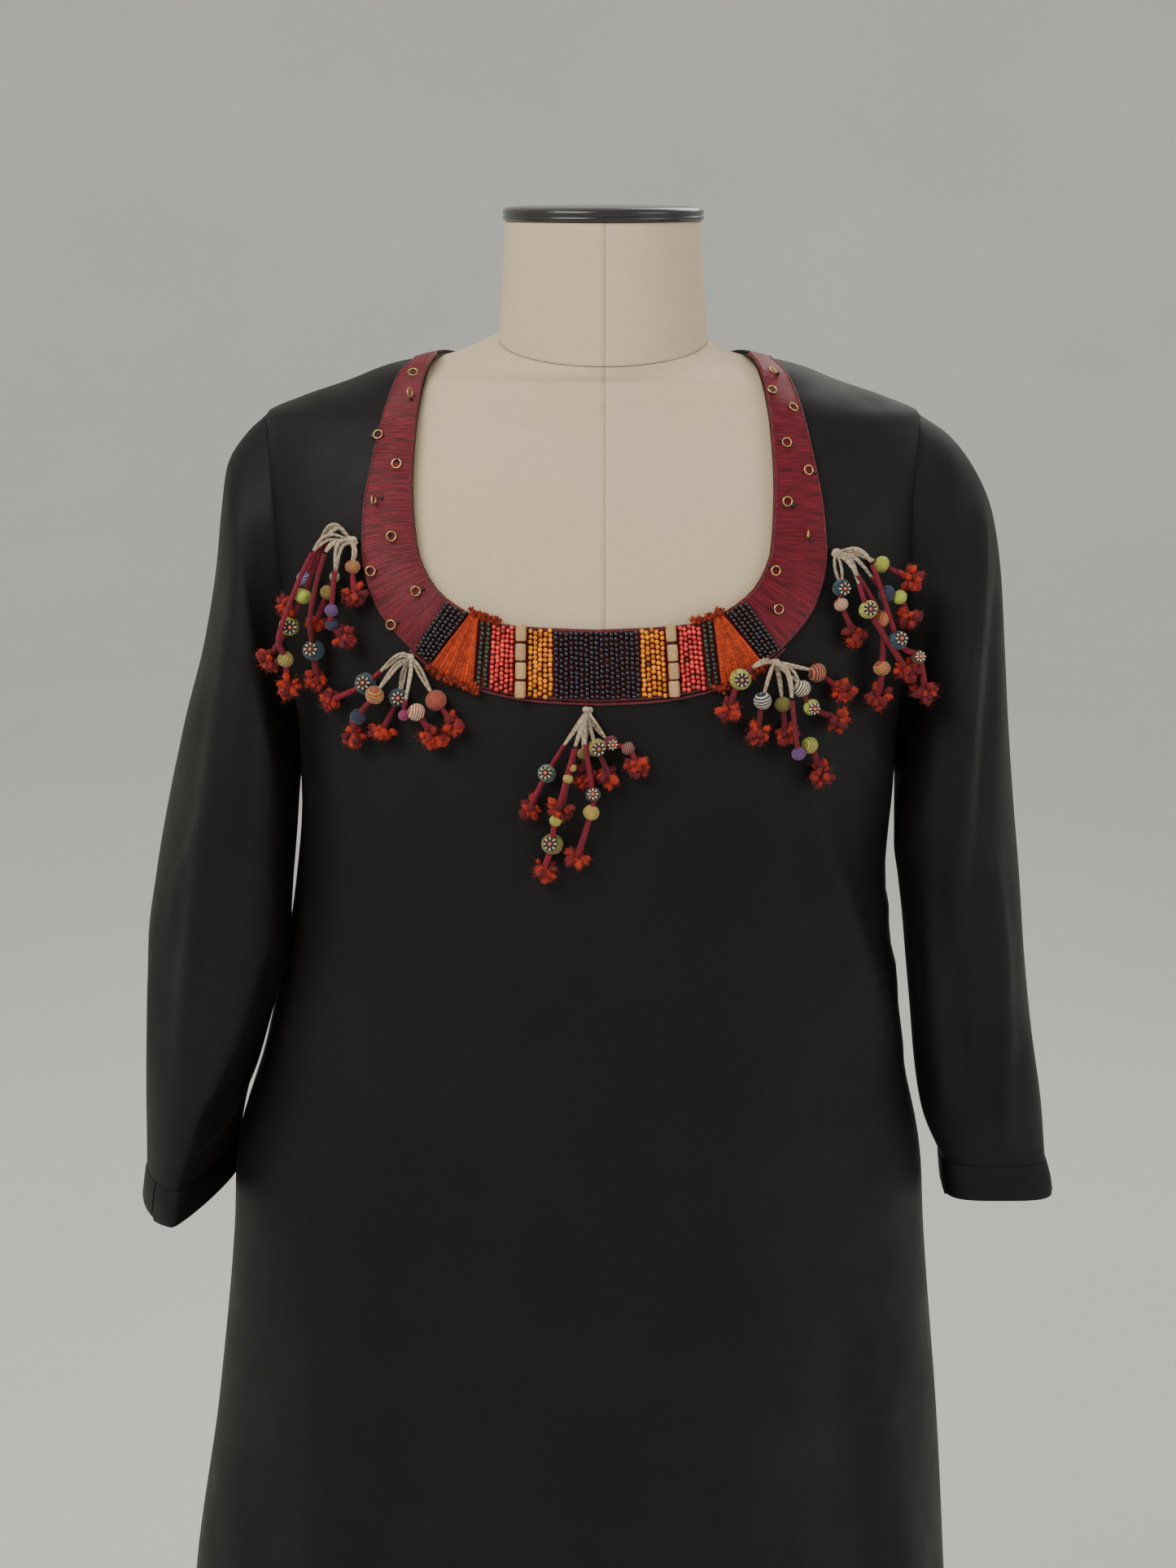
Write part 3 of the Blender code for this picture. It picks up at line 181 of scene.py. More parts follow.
# Rings of the sleeves: outer_z, inner_z, front, side, back, turn, skew, roundness
SLEEVE_TOP_RINGS = (
    (1.4165, 1.2130, -0.0600, 0.0000, 0.0600, 0.002, 0.000, 2.1),
    (1.3980, 1.2040, -0.0655, -0.0012, 0.0630, 0.006, 0.000, 2.1),
    (1.3700, 1.1930, -0.0715, -0.0037, 0.0640, 0.010, 0.000, 2.1),
    (1.3330, 1.1800, -0.0780, -0.0080, 0.0620, 0.013, 0.000, 2.1),
    (1.2880, 1.1640, -0.0830, -0.0125, 0.0580, 0.015, 0.000, 2.1),
)
SLEEVE_RINGS = {
    "left": SLEEVE_TOP_RINGS + (
        (1.2400, 1.1440, -0.0850, -0.0155, 0.0540, 0.018, 0.000, 2.05),
        (1.1900, 1.1190, -0.0850, -0.0175, 0.0500, 0.024, 0.000, 1.95),
        (1.1400, 1.0900, -0.0850, -0.0195, 0.0460, 0.029, 0.001, 1.80),
        (1.0900, 1.0560, -0.0850, -0.0210, 0.0420, 0.028, 0.004, 1.65),
        (1.0400, 1.0180, -0.0840, -0.0230, 0.0360, 0.019, 0.009, 1.50),
        (0.9900, 0.9830, -0.0820, -0.0210, 0.0290, 0.007, 0.014, 1.38),
    ),
    "right": SLEEVE_TOP_RINGS + (
        (1.2400, 1.1440, -0.0850, -0.0155, 0.0540, 0.014, 0.000, 2.1),
        (1.1900, 1.1190, -0.0850, -0.0175, 0.0500, 0.013, 0.000, 2.1),
        (1.1400, 1.0900, -0.0830, -0.0190, 0.0450, 0.012, 0.000, 2.15),
        (1.0900, 1.0560, -0.0770, -0.0190, 0.0390, 0.009, 0.000, 2.3),
        (1.0400, 1.0180, -0.0670, -0.0190, 0.0290, 0.005, 0.000, 2.6),
        (0.9900, 0.9830, -0.0540, -0.0190, 0.0170, 0.002, 0.000, 3.0),
    ),
}
CUFF_HEIGHT = 0.025
CUFF_COLUMNS = 24
# Half of the slit, as an angle round the cuff, and how far one of its ends hangs lower
CUFF_SLIT = 0.02
CUFF_STEP = 0.002
CUFF_STEP_COLUMNS = 2
CUFFS = {
    "left": {"bottom_z": 0.9250, "front": -0.0790, "side": -0.0160, "back": 0.0220,
             "turn": 0.000, "skew": 0.019, "roundness": 1.30, "slit": 0.13},
    "right": {"bottom_z": 0.9235, "front": -0.0400, "side": -0.0180, "back": 0.0040,
              "turn": 0.000, "skew": 0.000, "roundness": 3.60, "slit": 0.44},
}

# Neck band and what is sewn on it; distances run from the centre front along each edge
BAND = 0.0018
BAND_LIFT = 0.0007
BAND_CROWN = 0.25
BAND_PARTS = 180
BAND_ACROSS = 14
BAND_SHARE = 0.985
BINDING_DROP = 0.0042
BINDING_BACK = 0.0035
BINDING_OUT = 0.00525
BINDING_END_Y = 0.002
BINDING_LIFT = 0.0002
# Pads of each side: name, inner_from, inner_to, outer_from, outer_to, height
PAD_ROWS = (
    ("orange_beads", 0.0246, 0.0385, 0.0254, 0.0402, 0.0018),
    ("coral_beads", 0.0462, 0.0590, 0.0480, 0.0625, 0.0018),
    ("green_beads", 0.0594, 0.0660, 0.0629, 0.0705, 0.0018),
    ("wool_wedge", 0.0666, 0.0728, 0.0711, 0.0985, 0.0034),
    ("black_beads", 0.0734, 0.0880, 0.0991, 0.1110, 0.0018),
)
NAVY_HALF = (0.0242, 0.0250)
BONE_PLACE = (0.0424, 0.0441)
BONE_RADIUS = 0.0032
BONE_LENGTH = 0.0100
BONE_COUNT = 4
BONE_SPACING = 0.0106
RING_RADIUS = 0.0026
RING_WIRE = 0.0005
# Rings on the band: x, z, tilt in degrees, how far the ring sinks below the band's crown
BAND_RINGS = (
    (-0.1090, 1.4535, 20, 0.0012), (-0.1094, 1.4413, 80, 0), (-0.1280, 1.4218, 0, 0),
    (-0.1171, 1.4073, 0, 0), (-0.1292, 1.3875, 80, 0), (-0.1199, 1.3685, 15, 0),
    (-0.1318, 1.3490, 20, 0), (-0.1064, 1.3386, 10, 0), (-0.1207, 1.3194, 0, 0),
    (0.0965, 1.4540, 20, 0.0006), (0.0958, 1.4447, 0, 0), (0.1078, 1.4357, 15, 0.0007),
    (0.1034, 1.4183, 0, 0), (0.1155, 1.4036, 10, 0), (0.1036, 1.3875, 0, 0),
    (0.1145, 1.3692, 80, 0), (0.0971, 1.3499, 10, 0), (0.0990, 1.3285, 0, 0),
)

# Strings of beads across the band
NAVY_COLUMNS = 17
BEAD_COLUMNS = (("orange", 5), ("coral", 5), ("green", 2), ("black", 5))

KNOT_RADIUS = 0.0036
TASSEL_REACH = 0.155

# Colours of the covered beads, and the strands that carry them from each knot:
# across, down, radius and lift in millimetres, then the bead's colour, its wound lines and a rosette
TINTS = {
    "violet": (0.085, 0.075, 0.26), "lime": (0.40, 0.46, 0.055), "olive": (0.20, 0.18, 0.03),
    "gold": (0.45, 0.31, 0.06), "brick": (0.34, 0.06, 0.03), "purple": (0.12, 0.04, 0.17),
    "navy": (0.012, 0.018, 0.055), "teal": (0.02, 0.085, 0.11), "sage": (0.18, 0.26, 0.20),
    "brown": (0.09, 0.04, 0.02), "rust": (0.38, 0.10, 0.03), "magenta": (0.30, 0.02, 0.12),
    "maroon": (0.15, 0.012, 0.03), "rose": (0.32, 0.11, 0.09), "cream": (0.72, 0.62, 0.45),
    "orange": (0.52, 0.20, 0.05), "black": (0.015, 0.012, 0.012), "grey": (0.30, 0.28, 0.40),
}
TASSELS = (
    {"root": (-0.1418, 1.3650), "strands": (
        ((-12, 7, 0.9, 7), (-27, -22, 4.7, 5.5, "violet", "grey"), (-36, -38, 6.5, 8)),
        ((-9, 5, 0.9, 10), (-23, -31, 5.0, 14, "lime", "lime"), (-34, -48, 5.9, 9, "lime", "olive", 1),
         (-47, -68, 7.0, 8)),
        ((-6, -4, 0.9, 8), (-9, -20, 3.1, 7, "olive", "cream"), (-13, -29, 4.5, 7, "gold", "olive"),
         (-19, -46, 6.5, 8)),
        ((3, -6, 0.9, 8), (1, -14, 4.5, 7, "brick", "gold"), (2, -31, 6.5, 8)),
        ((-4, -6, 0.9, 14), (-6, -38, 3.8, 18, "purple", "purple"), (-7, -46, 3.8, 15, "navy", "navy"),
         (-1, -54, 7.0, 12)),
        ((-9, -5, 0.9, 16), (-16, -40, 1.2, 19), (-20, -62, 6.4, 9, "teal", "navy", 1), (-19, -79, 7.0, 8)),
        ((-14, -3, 0.9, 16), (-33, -50, 1.2, 19), (-35, -67, 4.7, 11, "olive", "gold"), (-36, -84, 7.0, 8)),
    )},
    {"root": (-0.1095, 1.3010), "strands": (
        ((-6, 1, 0.9, 7), (-24, -15, 6.5, 8, "teal", "navy", 1), (-43, -26, 6.5, 8)),
        ((-6, -4, 0.9, 13), (-16, -20, 5.5, 16, "brick", "gold"), (-26, -33, 4.6, 13, "navy", "navy"),
         (-30, -46, 7.0, 9)),
        ((-3, -7, 0.9, 6), (-6, -22, 5.5, 7, "teal", "navy", 1), (-15, -42, 7.0, 8)),
        ((5, -5, 0.9, 8), (15, -23, 6.2, 7, "brick", "brick"), (26, -37, 6.8, 8)),
        ((2, -8, 0.9, 12), (-1, -31, 3.6, 13, "magenta", "magenta"), (6, -29, 5.2, 15, "rust", "cream"),
         (15, -45, 8.0, 10)),
    )},
    {"root": (-0.0092, 1.2728), "strands": (
        ((3, -6, 0.9, 7), (13, -18, 4.3, 5.5, "maroon", "maroon", 1), (23, -21, 3.8, 7, "rose", "brown"),
         (29, -32, 7.0, 8)),
        ((1, -8, 0.9, 9), (5, -20, 5.6, 13, "olive", "gold", 1), (13, -37, 6.8, 10)),
        ((-1, -8, 0.9, 5), (-2, -24, 4.0, 6, "gold", "olive"), (-1, -38, 6.5, 8)),
        ((-6, -8, 0.9, 9), (-23, -35, 5.4, 7, "sage", "teal", 1), (-33, -55, 7.0, 8)),
        ((-4, -9, 0.9, 13), (-9, -31, 2.8, 16, "gold", "gold"), (-11, -37, 3.0, 17, "gold", "gold"),
         (-15, -55, 7.0, 14)),
        ((-2, -12, 0.9, 16), (3, -46, 4.4, 14, "black", "brown", 1), (2, -56, 4.7, 13, "gold", "gold"),
         (-6, -82, 7.0, 9)),
        ((-5, -12, 0.9, 17), (-18, -60, 3.6, 15, "lime", "gold"), (-20, -74, 6.4, 8, "olive", "olive", 1),
         (-25, -90, 7.0, 8)),
    )},
    {"root": (0.0968, 1.2982), "strands": (
        ((-9, 1, 0.9, 12), (-21, -8, 6.2, 14, "lime", "olive", 1), (-27, -26, 6.5, 9)),
        ((-4, -5, 0.9, 11), (-9, -20, 5.2, 14, "navy", "cream"), (-11, -39, 7.0, 9)),
        ((2, -8, 0.9, 6), (4, -23, 4.8, 6, "olive", "olive"), (5, -40, 6.5, 8)),
        ((6, 0, 0.9, 7), (23, -6, 5.6, 7, "maroon", "orange"), (38, -18, 7.0, 8)),
        ((7, -5, 0.9, 12), (13, -14, 5.2, 12, "cream", "black"), (17, -24, 4.8, 15, "lime", "olive", 1),
         (34, -33, 7.0, 10)),
        ((5, -8, 0.9, 15), (10, -50, 4.2, 15, "purple", "purple"), (17, -46, 4.9, 12, "olive", "lime"),
         (25, -65, 7.5, 9)),
    )},
    {"root": (0.1312, 1.3590), "strands": (
        ((9, -1, 0.9, 7), (25, -8, 5.0, 6, "lime", "lime"), (42, -17, 7.0, 8)),
        ((8, -5, 0.9, 11), (24, -24, 5.0, 13, "navy", "navy"), (32, -26, 4.3, 12, "lime", "lime"),
         (39, -38, 7.0, 9)),
        ((0, -7, 0.9, 7), (2, -20, 5.3, 7, "teal", "navy", 1), (1, -29, 4.2, 9, "rust", "cream"),
         (10, -48, 6.5, 8)),
        ((5, -7, 0.9, 14), (12, -32, 5.6, 17, "lime", "gold", 1), (38, -68, 7.0, 10)),
        ((4, -9, 0.9, 17), (20, -38, 5.3, 14, "orange", "brick"), (22, -66, 5.0, 12, "brick", "gold"),
         (22, -84, 7.0, 9)),
        ((12, -4, 0.9, 17), (30, -50, 5.6, 14, "teal", "navy", 1), (43, -60, 4.2, 12, "brown", "maroon", 1),
         (50, -81, 7.0, 8)),
    )},
)

# Dress form
FORM_TOP_Z = 1.473
NECK_TILT = 0.19
# The form below the bust: height, centre, half_width, front, back, roundness
FORM_ROWS = (
    (0.780, -0.006, 0.1630, 0.0980, 0.1080, 2.30),
    (0.800, -0.006, 0.1690, 0.1010, 0.1110, 2.30),
    (0.880, -0.006, 0.1760, 0.1040, 0.1130, 2.30),
    (0.960, -0.006, 0.1640, 0.0990, 0.1040, 2.30),
    (1.050, -0.005, 0.1400, 0.0900, 0.0880, 2.20),
    (1.120, -0.004, 0.1500, 0.1020, 0.0950, 2.40),
    (1.165, -0.004, 0.1680, 0.1180, 0.1040, 2.60),
)
# The form above it follows the cloth: height, less_width, less_depth
FORM_LEVELS = (
    (1.195, 0.0018, 0.0018),
    (1.245, 0.0020, 0.0016),
    (1.295, 0.0030, 0.0014),
    (1.345, 0.0050, 0.0014),
    (1.390, 0.0080, 0.0018),
    (1.412, 0.0110, 0.0022),
    (1.426, 0.0110, 0.0022),
    (1.436, 0.0070, 0.0022),
    (1.445, 0.0040, 0.0020),
    (1.453, 0.0040, 0.0026),
    (1.459, 0.0036, 0.0026),
    (1.4635, 0.0026, 0.0020),
)
FORM_DROP = 0.0012
NECK_RADIUS = 0.0625
NECK_TOP_RADIUS = 0.0583
NECK_TOP_Z = 1.5407
FRONT, BACK = -1.0, 1.0
SIDES = (("left", -1.0), ("right", 1.0))


# Curves and the body's surface


def smooth(knots, values, at):
    """A cubic through the values that never swings past them."""
    knots, values = np.asarray(knots, float), np.asarray(values, float)
    step = np.diff(knots)
    rise = np.diff(values) / step
    product = rise[1:] * rise[:-1]
    total = np.where(product > 0, rise[1:] + rise[:-1], 1.0)
    inner = np.where(product > 0, 2 * product / total, 0.0)
    slope = np.concatenate([rise[:1], inner, rise[-1:]])
    at = np.clip(at, knots[0], knots[-1])
    k = np.clip(np.searchsorted(knots, at, side="right") - 1, 0, len(step) - 1)
    u = (at - knots[k]) / step[k]
    return (
        (1 + 2 * u) * (1 - u) ** 2 * values[k]
        + u * (1 - u) ** 2 * step[k] * slope[k]
        + u**2 * (3 - 2 * u) * values[k + 1]
        - u**2 * (1 - u) * step[k] * slope[k + 1]
    )


def line_through(rows, count=240):
    """Points of a smooth line through the rows of a table."""
    rows = np.asarray(rows, float)
    along = np.concatenate([[0], np.cumsum(np.linalg.norm(np.diff(rows, axis=0), axis=1))])
    at = np.linspace(0, along[-1], count)
    return np.stack([smooth(along, rows[:, k], at) for k in range(rows.shape[1])], axis=1)


def lengths(line):
    return np.concatenate([[0], np.cumsum(np.linalg.norm(np.diff(line, axis=0), axis=1))])


def at_lengths(line, wanted):
    """Points at these distances along a line."""
    along = lengths(line)
    return np.stack([np.interp(wanted, along, line[:, k]) for k in range(3)], axis=-1)


def evenly(line, parts):
    """The line's points at parts + 1 even steps."""
    return at_lengths(line, np.linspace(0, lengths(line)[-1], parts + 1))


def section(z):
    """Centre, half width, front depth, back depth and roundness of the body at each height."""
    heights = [row[0] for row in BODY_ROWS]
    return [smooth(heights, [row[k] for row in BODY_ROWS], z) for k in range(1, 6)]


def bulge(points):
    """Below zero inside the body, zero on it and above zero outside."""
    centre, half_width, front, back, roundness = section(points[:, 2])
    depth = np.where(points[:, 1] < 0, front, back)
    across = np.abs((points[:, 0] - centre) / half_width)
    return across**roundness + np.abs(points[:, 1] / depth) ** roundness - 1


def onto_body(points):
    """Slides each point along the ray from the body's core until it lies on the surface."""
    points = np.atleast_2d(np.asarray(points, float))
    core = np.zeros_like(points)
    core[:, 2] = np.minimum(points[:, 2], CORE_Z)
    core[:, 0] = section(core[:, 2])[0]
    low, high = np.full(len(points), 0.2), np.full(len(points), 3.0)
    for _ in range(40):
        middle = (low + high) / 2
        outside = bulge(core + (points - core) * middle[:, None]) > 0
        high = np.where(outside, middle, high)
        low = np.where(outside, low, middle)
    return core + (points - core) * low[:, None]


def normals(points):
    step = 0.0004
    slope = np.stack(
        [bulge(points + step * axis) - bulge(points - step * axis) for axis in np.eye(3)], axis=1
    )
    return slope / np.linalg.norm(slope, axis=1)[:, None]


def lifted(points, height):
    """Points moved out from the body by a height."""
    return points + normals(points) * np.reshape(height, (-1, 1))


def edge_point(across, z, face):
    """The point of the front or back at a distance across from the centre and a height."""
    centre, half_width, front, back, roundness = section(z)
    depth = front if face == FRONT else back
    share = np.clip(np.abs(across) / half_width, 0, 1)
    y = face * depth * (1 - share**roundness) ** (1 / roundness)
    return np.stack([centre + across, y, z], axis=-1)


def scoop_line(rows, side):
    """A neck edge on the body, from the centre front to the shoulder seam."""
    line = line_through(rows)
    return edge_point(side * line[:, 0], line[:, 1], FRONT)


def armhole_line(side, face):
    """Half of an armhole, from the armpit to the shoulder tip."""
    angle = np.linspace(0, math.pi, 160)
    middle, reach = (SHOULDER_TIP_Z + ARMPIT_Z) / 2, (SHOULDER_TIP_Z - ARMPIT_Z) / 2
    z = middle - reach * np.cos(angle)
    depth = ARMHOLE_FRONT if face == FRONT else ARMHOLE_BACK
    y = depth * np.abs(np.sin(angle)) ** ARMHOLE_ROUNDNESS
    centre, half_width, front, back, roundness = section(z)
    share = np.clip(y / (front if face == FRONT else back), 0, 1)
    x = centre + side * half_width * (1 - share**roundness) ** (1 / roundness)
    return np.stack([x, face * y, z], axis=1)


def side_seam(side, levels):
    centre, half_width = section(levels)[:2]
    return np.stack([centre + side * half_width, 0 * levels, levels], axis=1)


def shoulder_seam(side):
    """From the neck point down to the shoulder tip."""
    levels = np.linspace(NECK_POINT_Z, SHOULDER_TIP_Z, 120)
    return side_seam(side, levels)


def hem_line(side, face):
    """From the centre to the side seam at the hem."""
    angle = np.linspace(0, math.pi / 2, 120)
    centre, half_width, front, back, roundness = section(np.full(120, HEM_Z))
    size = (np.sin(angle) ** roundness + np.cos(angle) ** roundness) ** (1 / roundness)
    depth = front if face == FRONT else back
    return np.stack(
        [
            centre + side * half_width * np.sin(angle) / size,
            face * depth * np.cos(angle) / size,
            np.full(120, HEM_Z),
        ],
        axis=1,
    )


def fold_heights(points, folds):
    """How far the folds raise each point; a fold fades to nothing at its ends."""
    total = np.zeros(len(points))
    for from_x, from_z, to_x, to_z, width, height in folds:
        start, run = np.array([from_x, from_z]), np.array([to_x - from_x, to_z - from_z])
        along = ((points[:, [0, 2]] - start) @ run) / (run @ run)
        along = np.clip(along, 0, 1)
        away = np.linalg.norm(points[:, [0, 2]] - start - along[:, None] * run, axis=1)
        total += height * np.exp(-((away / width) ** 2)) * np.sin(math.pi * along) ** 0.7
    return total


# Creases: width, height, then the points of the line in the front view (x, z)
FRONT_CREASES = (
    (0.0080, 0.0035, (0.118, 1.225), (0.133, 1.170), (0.160, 1.105), (0.180, 1.040)),
    (0.0060, -0.0022, (0.135, 1.215), (0.150, 1.160), (0.176, 1.090), (0.192, 1.035)),
    (0.0050, 0.0016, (0.168, 1.142), (0.180, 1.118), (0.188, 1.100)),
    (0.0050, 0.0014, (0.170, 1.110), (0.184, 1.085), (0.192, 1.062)),
    (0.0070, 0.0020, (0.150, 1.265), (0.165, 1.225), (0.172, 1.190)),
    (0.0140, 0.0030, (0.165, 0.880), (0.185, 0.760), (0.215, 0.600)),
    (0.0120, -0.0020, (0.140, 0.900), (0.155, 0.770), (0.170, 0.620)),
    (0.0200, 0.0022, (0.060, 1.130), (0.075, 0.950), (0.080, 0.700), (0.085, 0.520)),
    (0.0160, -0.0018, (-0.150, 1.120), (-0.165, 0.950), (-0.175, 0.760)),
    (0.0180, 0.0020, (-0.085, 1.060), (-0.100, 0.860), (-0.105, 0.600)),
    (0.0100, 0.0016, (-0.160, 1.240), (-0.150, 1.180), (-0.158, 1.110)),
    (0.0120, -0.0012, (-0.020, 1.150), (-0.024, 1.040), (-0.020, 0.900)),
)
BACK_CREASES = (
    (0.0120, 0.0030, (0.120, 1.235), (0.135, 1.160), (0.160, 1.060)),
    (0.0100, -0.0022, (-0.110, 1.240), (-0.125, 1.150), (-0.150, 1.040)),
    (0.0180, 0.0024, (-0.040, 1.120), (-0.050, 0.900), (-0.055, 0.620)),
    (0.0160, 0.0022, (0.070, 1.080), (0.085, 0.840), (0.090, 0.560)),
    (0.0120, -0.0018, (0.150, 0.980), (0.170, 0.780), (0.185, 0.600)),
    (0.0090, 0.0016, (0.000, 1.400), (0.004, 1.330), (0.000, 1.240)),
)
SLEEVE_CREASES = {
    "left": {
        "front": (
            (0.0060, 0.0042, (-0.188, 1.128), (-0.200, 1.062), (-0.212, 1.034), (-0.236, 0.992),
             (-0.258, 0.975)),
            (0.0060, -0.0030, (-0.200, 1.110), (-0.214, 1.050), (-0.232, 1.015), (-0.256, 0.992)),
            (0.0090, 0.0030, (-0.215, 1.350), (-0.228, 1.250), (-0.250, 1.130), (-0.266, 1.030)),
            (0.0080, -0.0022, (-0.205, 1.300), (-0.212, 1.210), (-0.225, 1.120)),
            (0.0050, 0.0018, (-0.240, 1.190), (-0.262, 1.150), (-0.275, 1.100)),
        ),
        "back": (
            (0.0080, 0.0034, (-0.210, 1.140), (-0.225, 1.070), (-0.250, 1.010)),
            (0.0090, -0.0024, (-0.225, 1.330), (-0.240, 1.220), (-0.262, 1.100)),
            (0.0070, 0.0024, (-0.200, 1.240), (-0.215, 1.170), (-0.235, 1.110)),
        ),
    },
    "right": {
        "front": (
            (0.0070, 0.0040, (0.228, 1.385), (0.222, 1.335), (0.216, 1.280), (0.213, 1.220), (0.212, 1.150),
             (0.213, 1.090)),
            (0.0060, -0.0028, (0.242, 1.370), (0.236, 1.300), (0.230, 1.220), (0.228, 1.120)),
            (0.0070, 0.0030, (0.236, 1.180), (0.246, 1.100), (0.254, 1.010), (0.262, 0.965)),
            (0.0060, 0.0022, (0.196, 1.150), (0.205, 1.070), (0.216, 1.000)),
            (0.0050, -0.0016, (0.206, 1.160), (0.218, 1.080), (0.232, 1.000)),
        ),
        "back": (
            (0.0080, 0.0030, (0.215, 1.330), (0.228, 1.230), (0.244, 1.110)),
            (0.0080, -0.0022, (0.200, 1.180), (0.212, 1.090), (0.230, 1.010)),
            (0.0070, 0.0026, (0.240, 1.180), (0.250, 1.080), (0.262, 0.990)),
        ),
    },
}

# Small things: the slant of the linen's rib in degrees, colours, threads and the tufts' width
TWILL_SLANT = -58
VENT_THREAD = (0.20, 0.035, 0.02)
WOOL_MARGIN = 0.0006
BONE_COLOUR = (0.50, 0.30, 0.13)
BONE_THREAD_COLOUR = (0.05, 0.015, 0.012)
BONE_THREAD_RADIUS = 0.0008
BONE_THREAD_REACH = 0.0212
# Outline of a bone tube: share of its half length, share of its radius
BONE_PROFILE = (
    (-1, 0.62), (-0.985, 0.84), (-0.93, 0.94), (-0.75, 0.985), (-0.3, 1.0),
    (0.2, 1.0), (0.7, 0.98), (0.92, 0.94), (0.985, 0.84), (1, 0.62),
)
ROSETTE_GOLD = (0.78, 0.62, 0.36)
ROSETTE_CORAL = (0.80, 0.13, 0.07)
ROSETTE_GROUND = (0.02, 0.012, 0.012)
TUFT_SPREAD = 1.18

# Stage and camera; the tilt is in degrees below the horizon
FLOOR_REACH = 9.0
SWEEP = 3.0
BACKDROP_TOP = 9.0
LIT_POINT = (0, 0, 1.15)
CAMERA_LENS = 48.04
CAMERA_PLACE = (-0.009, -1.277, 1.564)
CAMERA_TILT = 16.1

# Turned outlines from the top down: radius, height
FINE_CAP = (
    (0.0010, 1.5498), (0.0350, 1.5496), (0.0520, 1.5492), (0.0560, 1.5488), (0.0578, 1.5482),
    (0.0589, 1.5474), (0.0594, 1.5464), (0.0594, 1.5452), (0.0588, 1.5446), (0.0588, 1.5441),
    (0.0594, 1.5436), (0.0595, 1.5428), (0.0592, 1.5418), (0.0584, 1.5411), (0.0571, 1.5410),
    (0.0010, 1.5410),
)
POLE_PROFILE = ((0.0150, 0.7797), (0.0160, 0.7790), (0.0160, 0.0275), (0.0155, 0.0263))
FINE_BASE = (
    (0.0010, 0.0260), (0.0285, 0.0260), (0.0300, 0.0256), (0.0318, 0.0240), (0.0340, 0.0218),
    (0.0400, 0.0206), (0.0600, 0.0190), (0.1000, 0.0171), (0.1500, 0.0150), (0.1780, 0.0122),
    (0.1840, 0.0114), (0.1880, 0.0098), (0.1898, 0.0076), (0.1900, 0.0040), (0.1897, 0.0012),
    (0.1885, 0.0), (0.0010, 0.0),
)


def patch(inner, outer, bottom, top):
    """Points between four edge lines, row by row from the bottom, inner edge first."""
    t = np.linspace(0, 1, len(inner))[:, None, None]
    s = np.linspace(0, 1, len(bottom))[None, :, None]
    corners = (
        (1 - s) * (1 - t) * inner[0]
        + s * (1 - t) * outer[0]
        + (1 - s) * t * inner[-1]
        + s * t * outer[-1]
    )
    return (
        (1 - s) * inner[:, None]
        + s * outer[:, None]
        + (1 - t) * bottom[None]
        + t * top[None]
        - corners
    )


def side_closeness(points):
    centre, half_width = section(points[:, 2])[:2]
    return np.clip(np.abs(points[:, 0] - centre) / half_width, 0, 1) ** 8


def shaped_cloth(points, face, folds):
    """Panel points on the body, with the folds raised and the vents parted."""
    seated = onto_body(points)
    raised = lifted(seated, fold_heights(seated, folds))
    below_vent = np.clip((VENT_TOP_Z - raised[:, 2]) / (VENT_TOP_Z - HEM_Z), 0, 1)
    parting = GAP / 2 + VENT_OPENING * below_vent**1.5 * side_closeness(raised)
    raised[:, 1] += face * parting
    return raised


def panel_rows(side, face):
    """Inner and outer edge points of a half panel, row by row, up to the shoulder."""
    low = np.linspace(HEM_Z, ARMPIT_Z, HEM_TO_ARMPIT + 1)
    middle_low = edge_point(0 * low, low, face)
    outer_low = side_seam(side, low)
    if face == FRONT:
        scoop_bottom = NECKLINE_ROWS[0][1]
        rise = np.linspace(ARMPIT_Z, scoop_bottom, ARMPIT_TO_SCOOP + 1)[1:]
        scoop = evenly(scoop_line(NECKLINE_ROWS, side), ALONG_SCOOP)[1:]
        inner = np.concatenate([middle_low, edge_point(0 * rise, rise, face), scoop])
    else:
        rise = np.linspace(ARMPIT_Z, BACK_NECK_Z, BACK_ARMPIT_TO_TOP + 1)[1:]
        inner = np.concatenate([middle_low, edge_point(0 * rise, rise, face)])
    armhole = evenly(armhole_line(side, face), len(inner) - len(low))
    outer = np.concatenate([outer_low, armhole[1:]])
    return inner, outer


def back_neck_line(side):
    """The back neckline, from the centre back up to the neck point."""
    angle = np.linspace(0, math.pi / 2, 120)
    z = BACK_NECK_Z + (NECK_POINT_Z - BACK_NECK_Z) * np.sin(angle) ** 3
    across = section(np.array([NECK_POINT_Z]))[1][0] * np.sin(angle)
    return edge_point(side * across, z, BACK)


def oval_size(angles, roundness):
    """What an angle's cosine and sine are divided by to reach a rounded oval."""
    powers = np.abs(np.cos(angles)) ** roundness + np.abs(np.sin(angles)) ** roundness
    return powers ** (1 / roundness)


def ring(angles, outer, inner, front, side_y, back, turn, skew, roundness):
    """A slanted oval through an outer and an inner point (x, z) of the front view."""
    outer, inner = np.asarray(outer), np.asarray(inner)
    size = oval_size(angles, roundness)
    out, ahead = np.cos(angles) / size, np.sin(angles) / size
    middle, reach = (outer + inner) / 2, (outer - inner) / 2
    x = middle[0] + reach[0] * out - np.sign(middle[0]) * turn * ahead
    y = side_y - skew * out + ahead * np.where(ahead > 0, front - side_y, side_y - back)
    z = middle[1] + reach[1] * out
    return np.stack([x, y, z], axis=1)


def outline(rows, z):
    rows = sorted(rows)
    return float(smooth([row[0] for row in rows], [row[1] for row in rows], z))


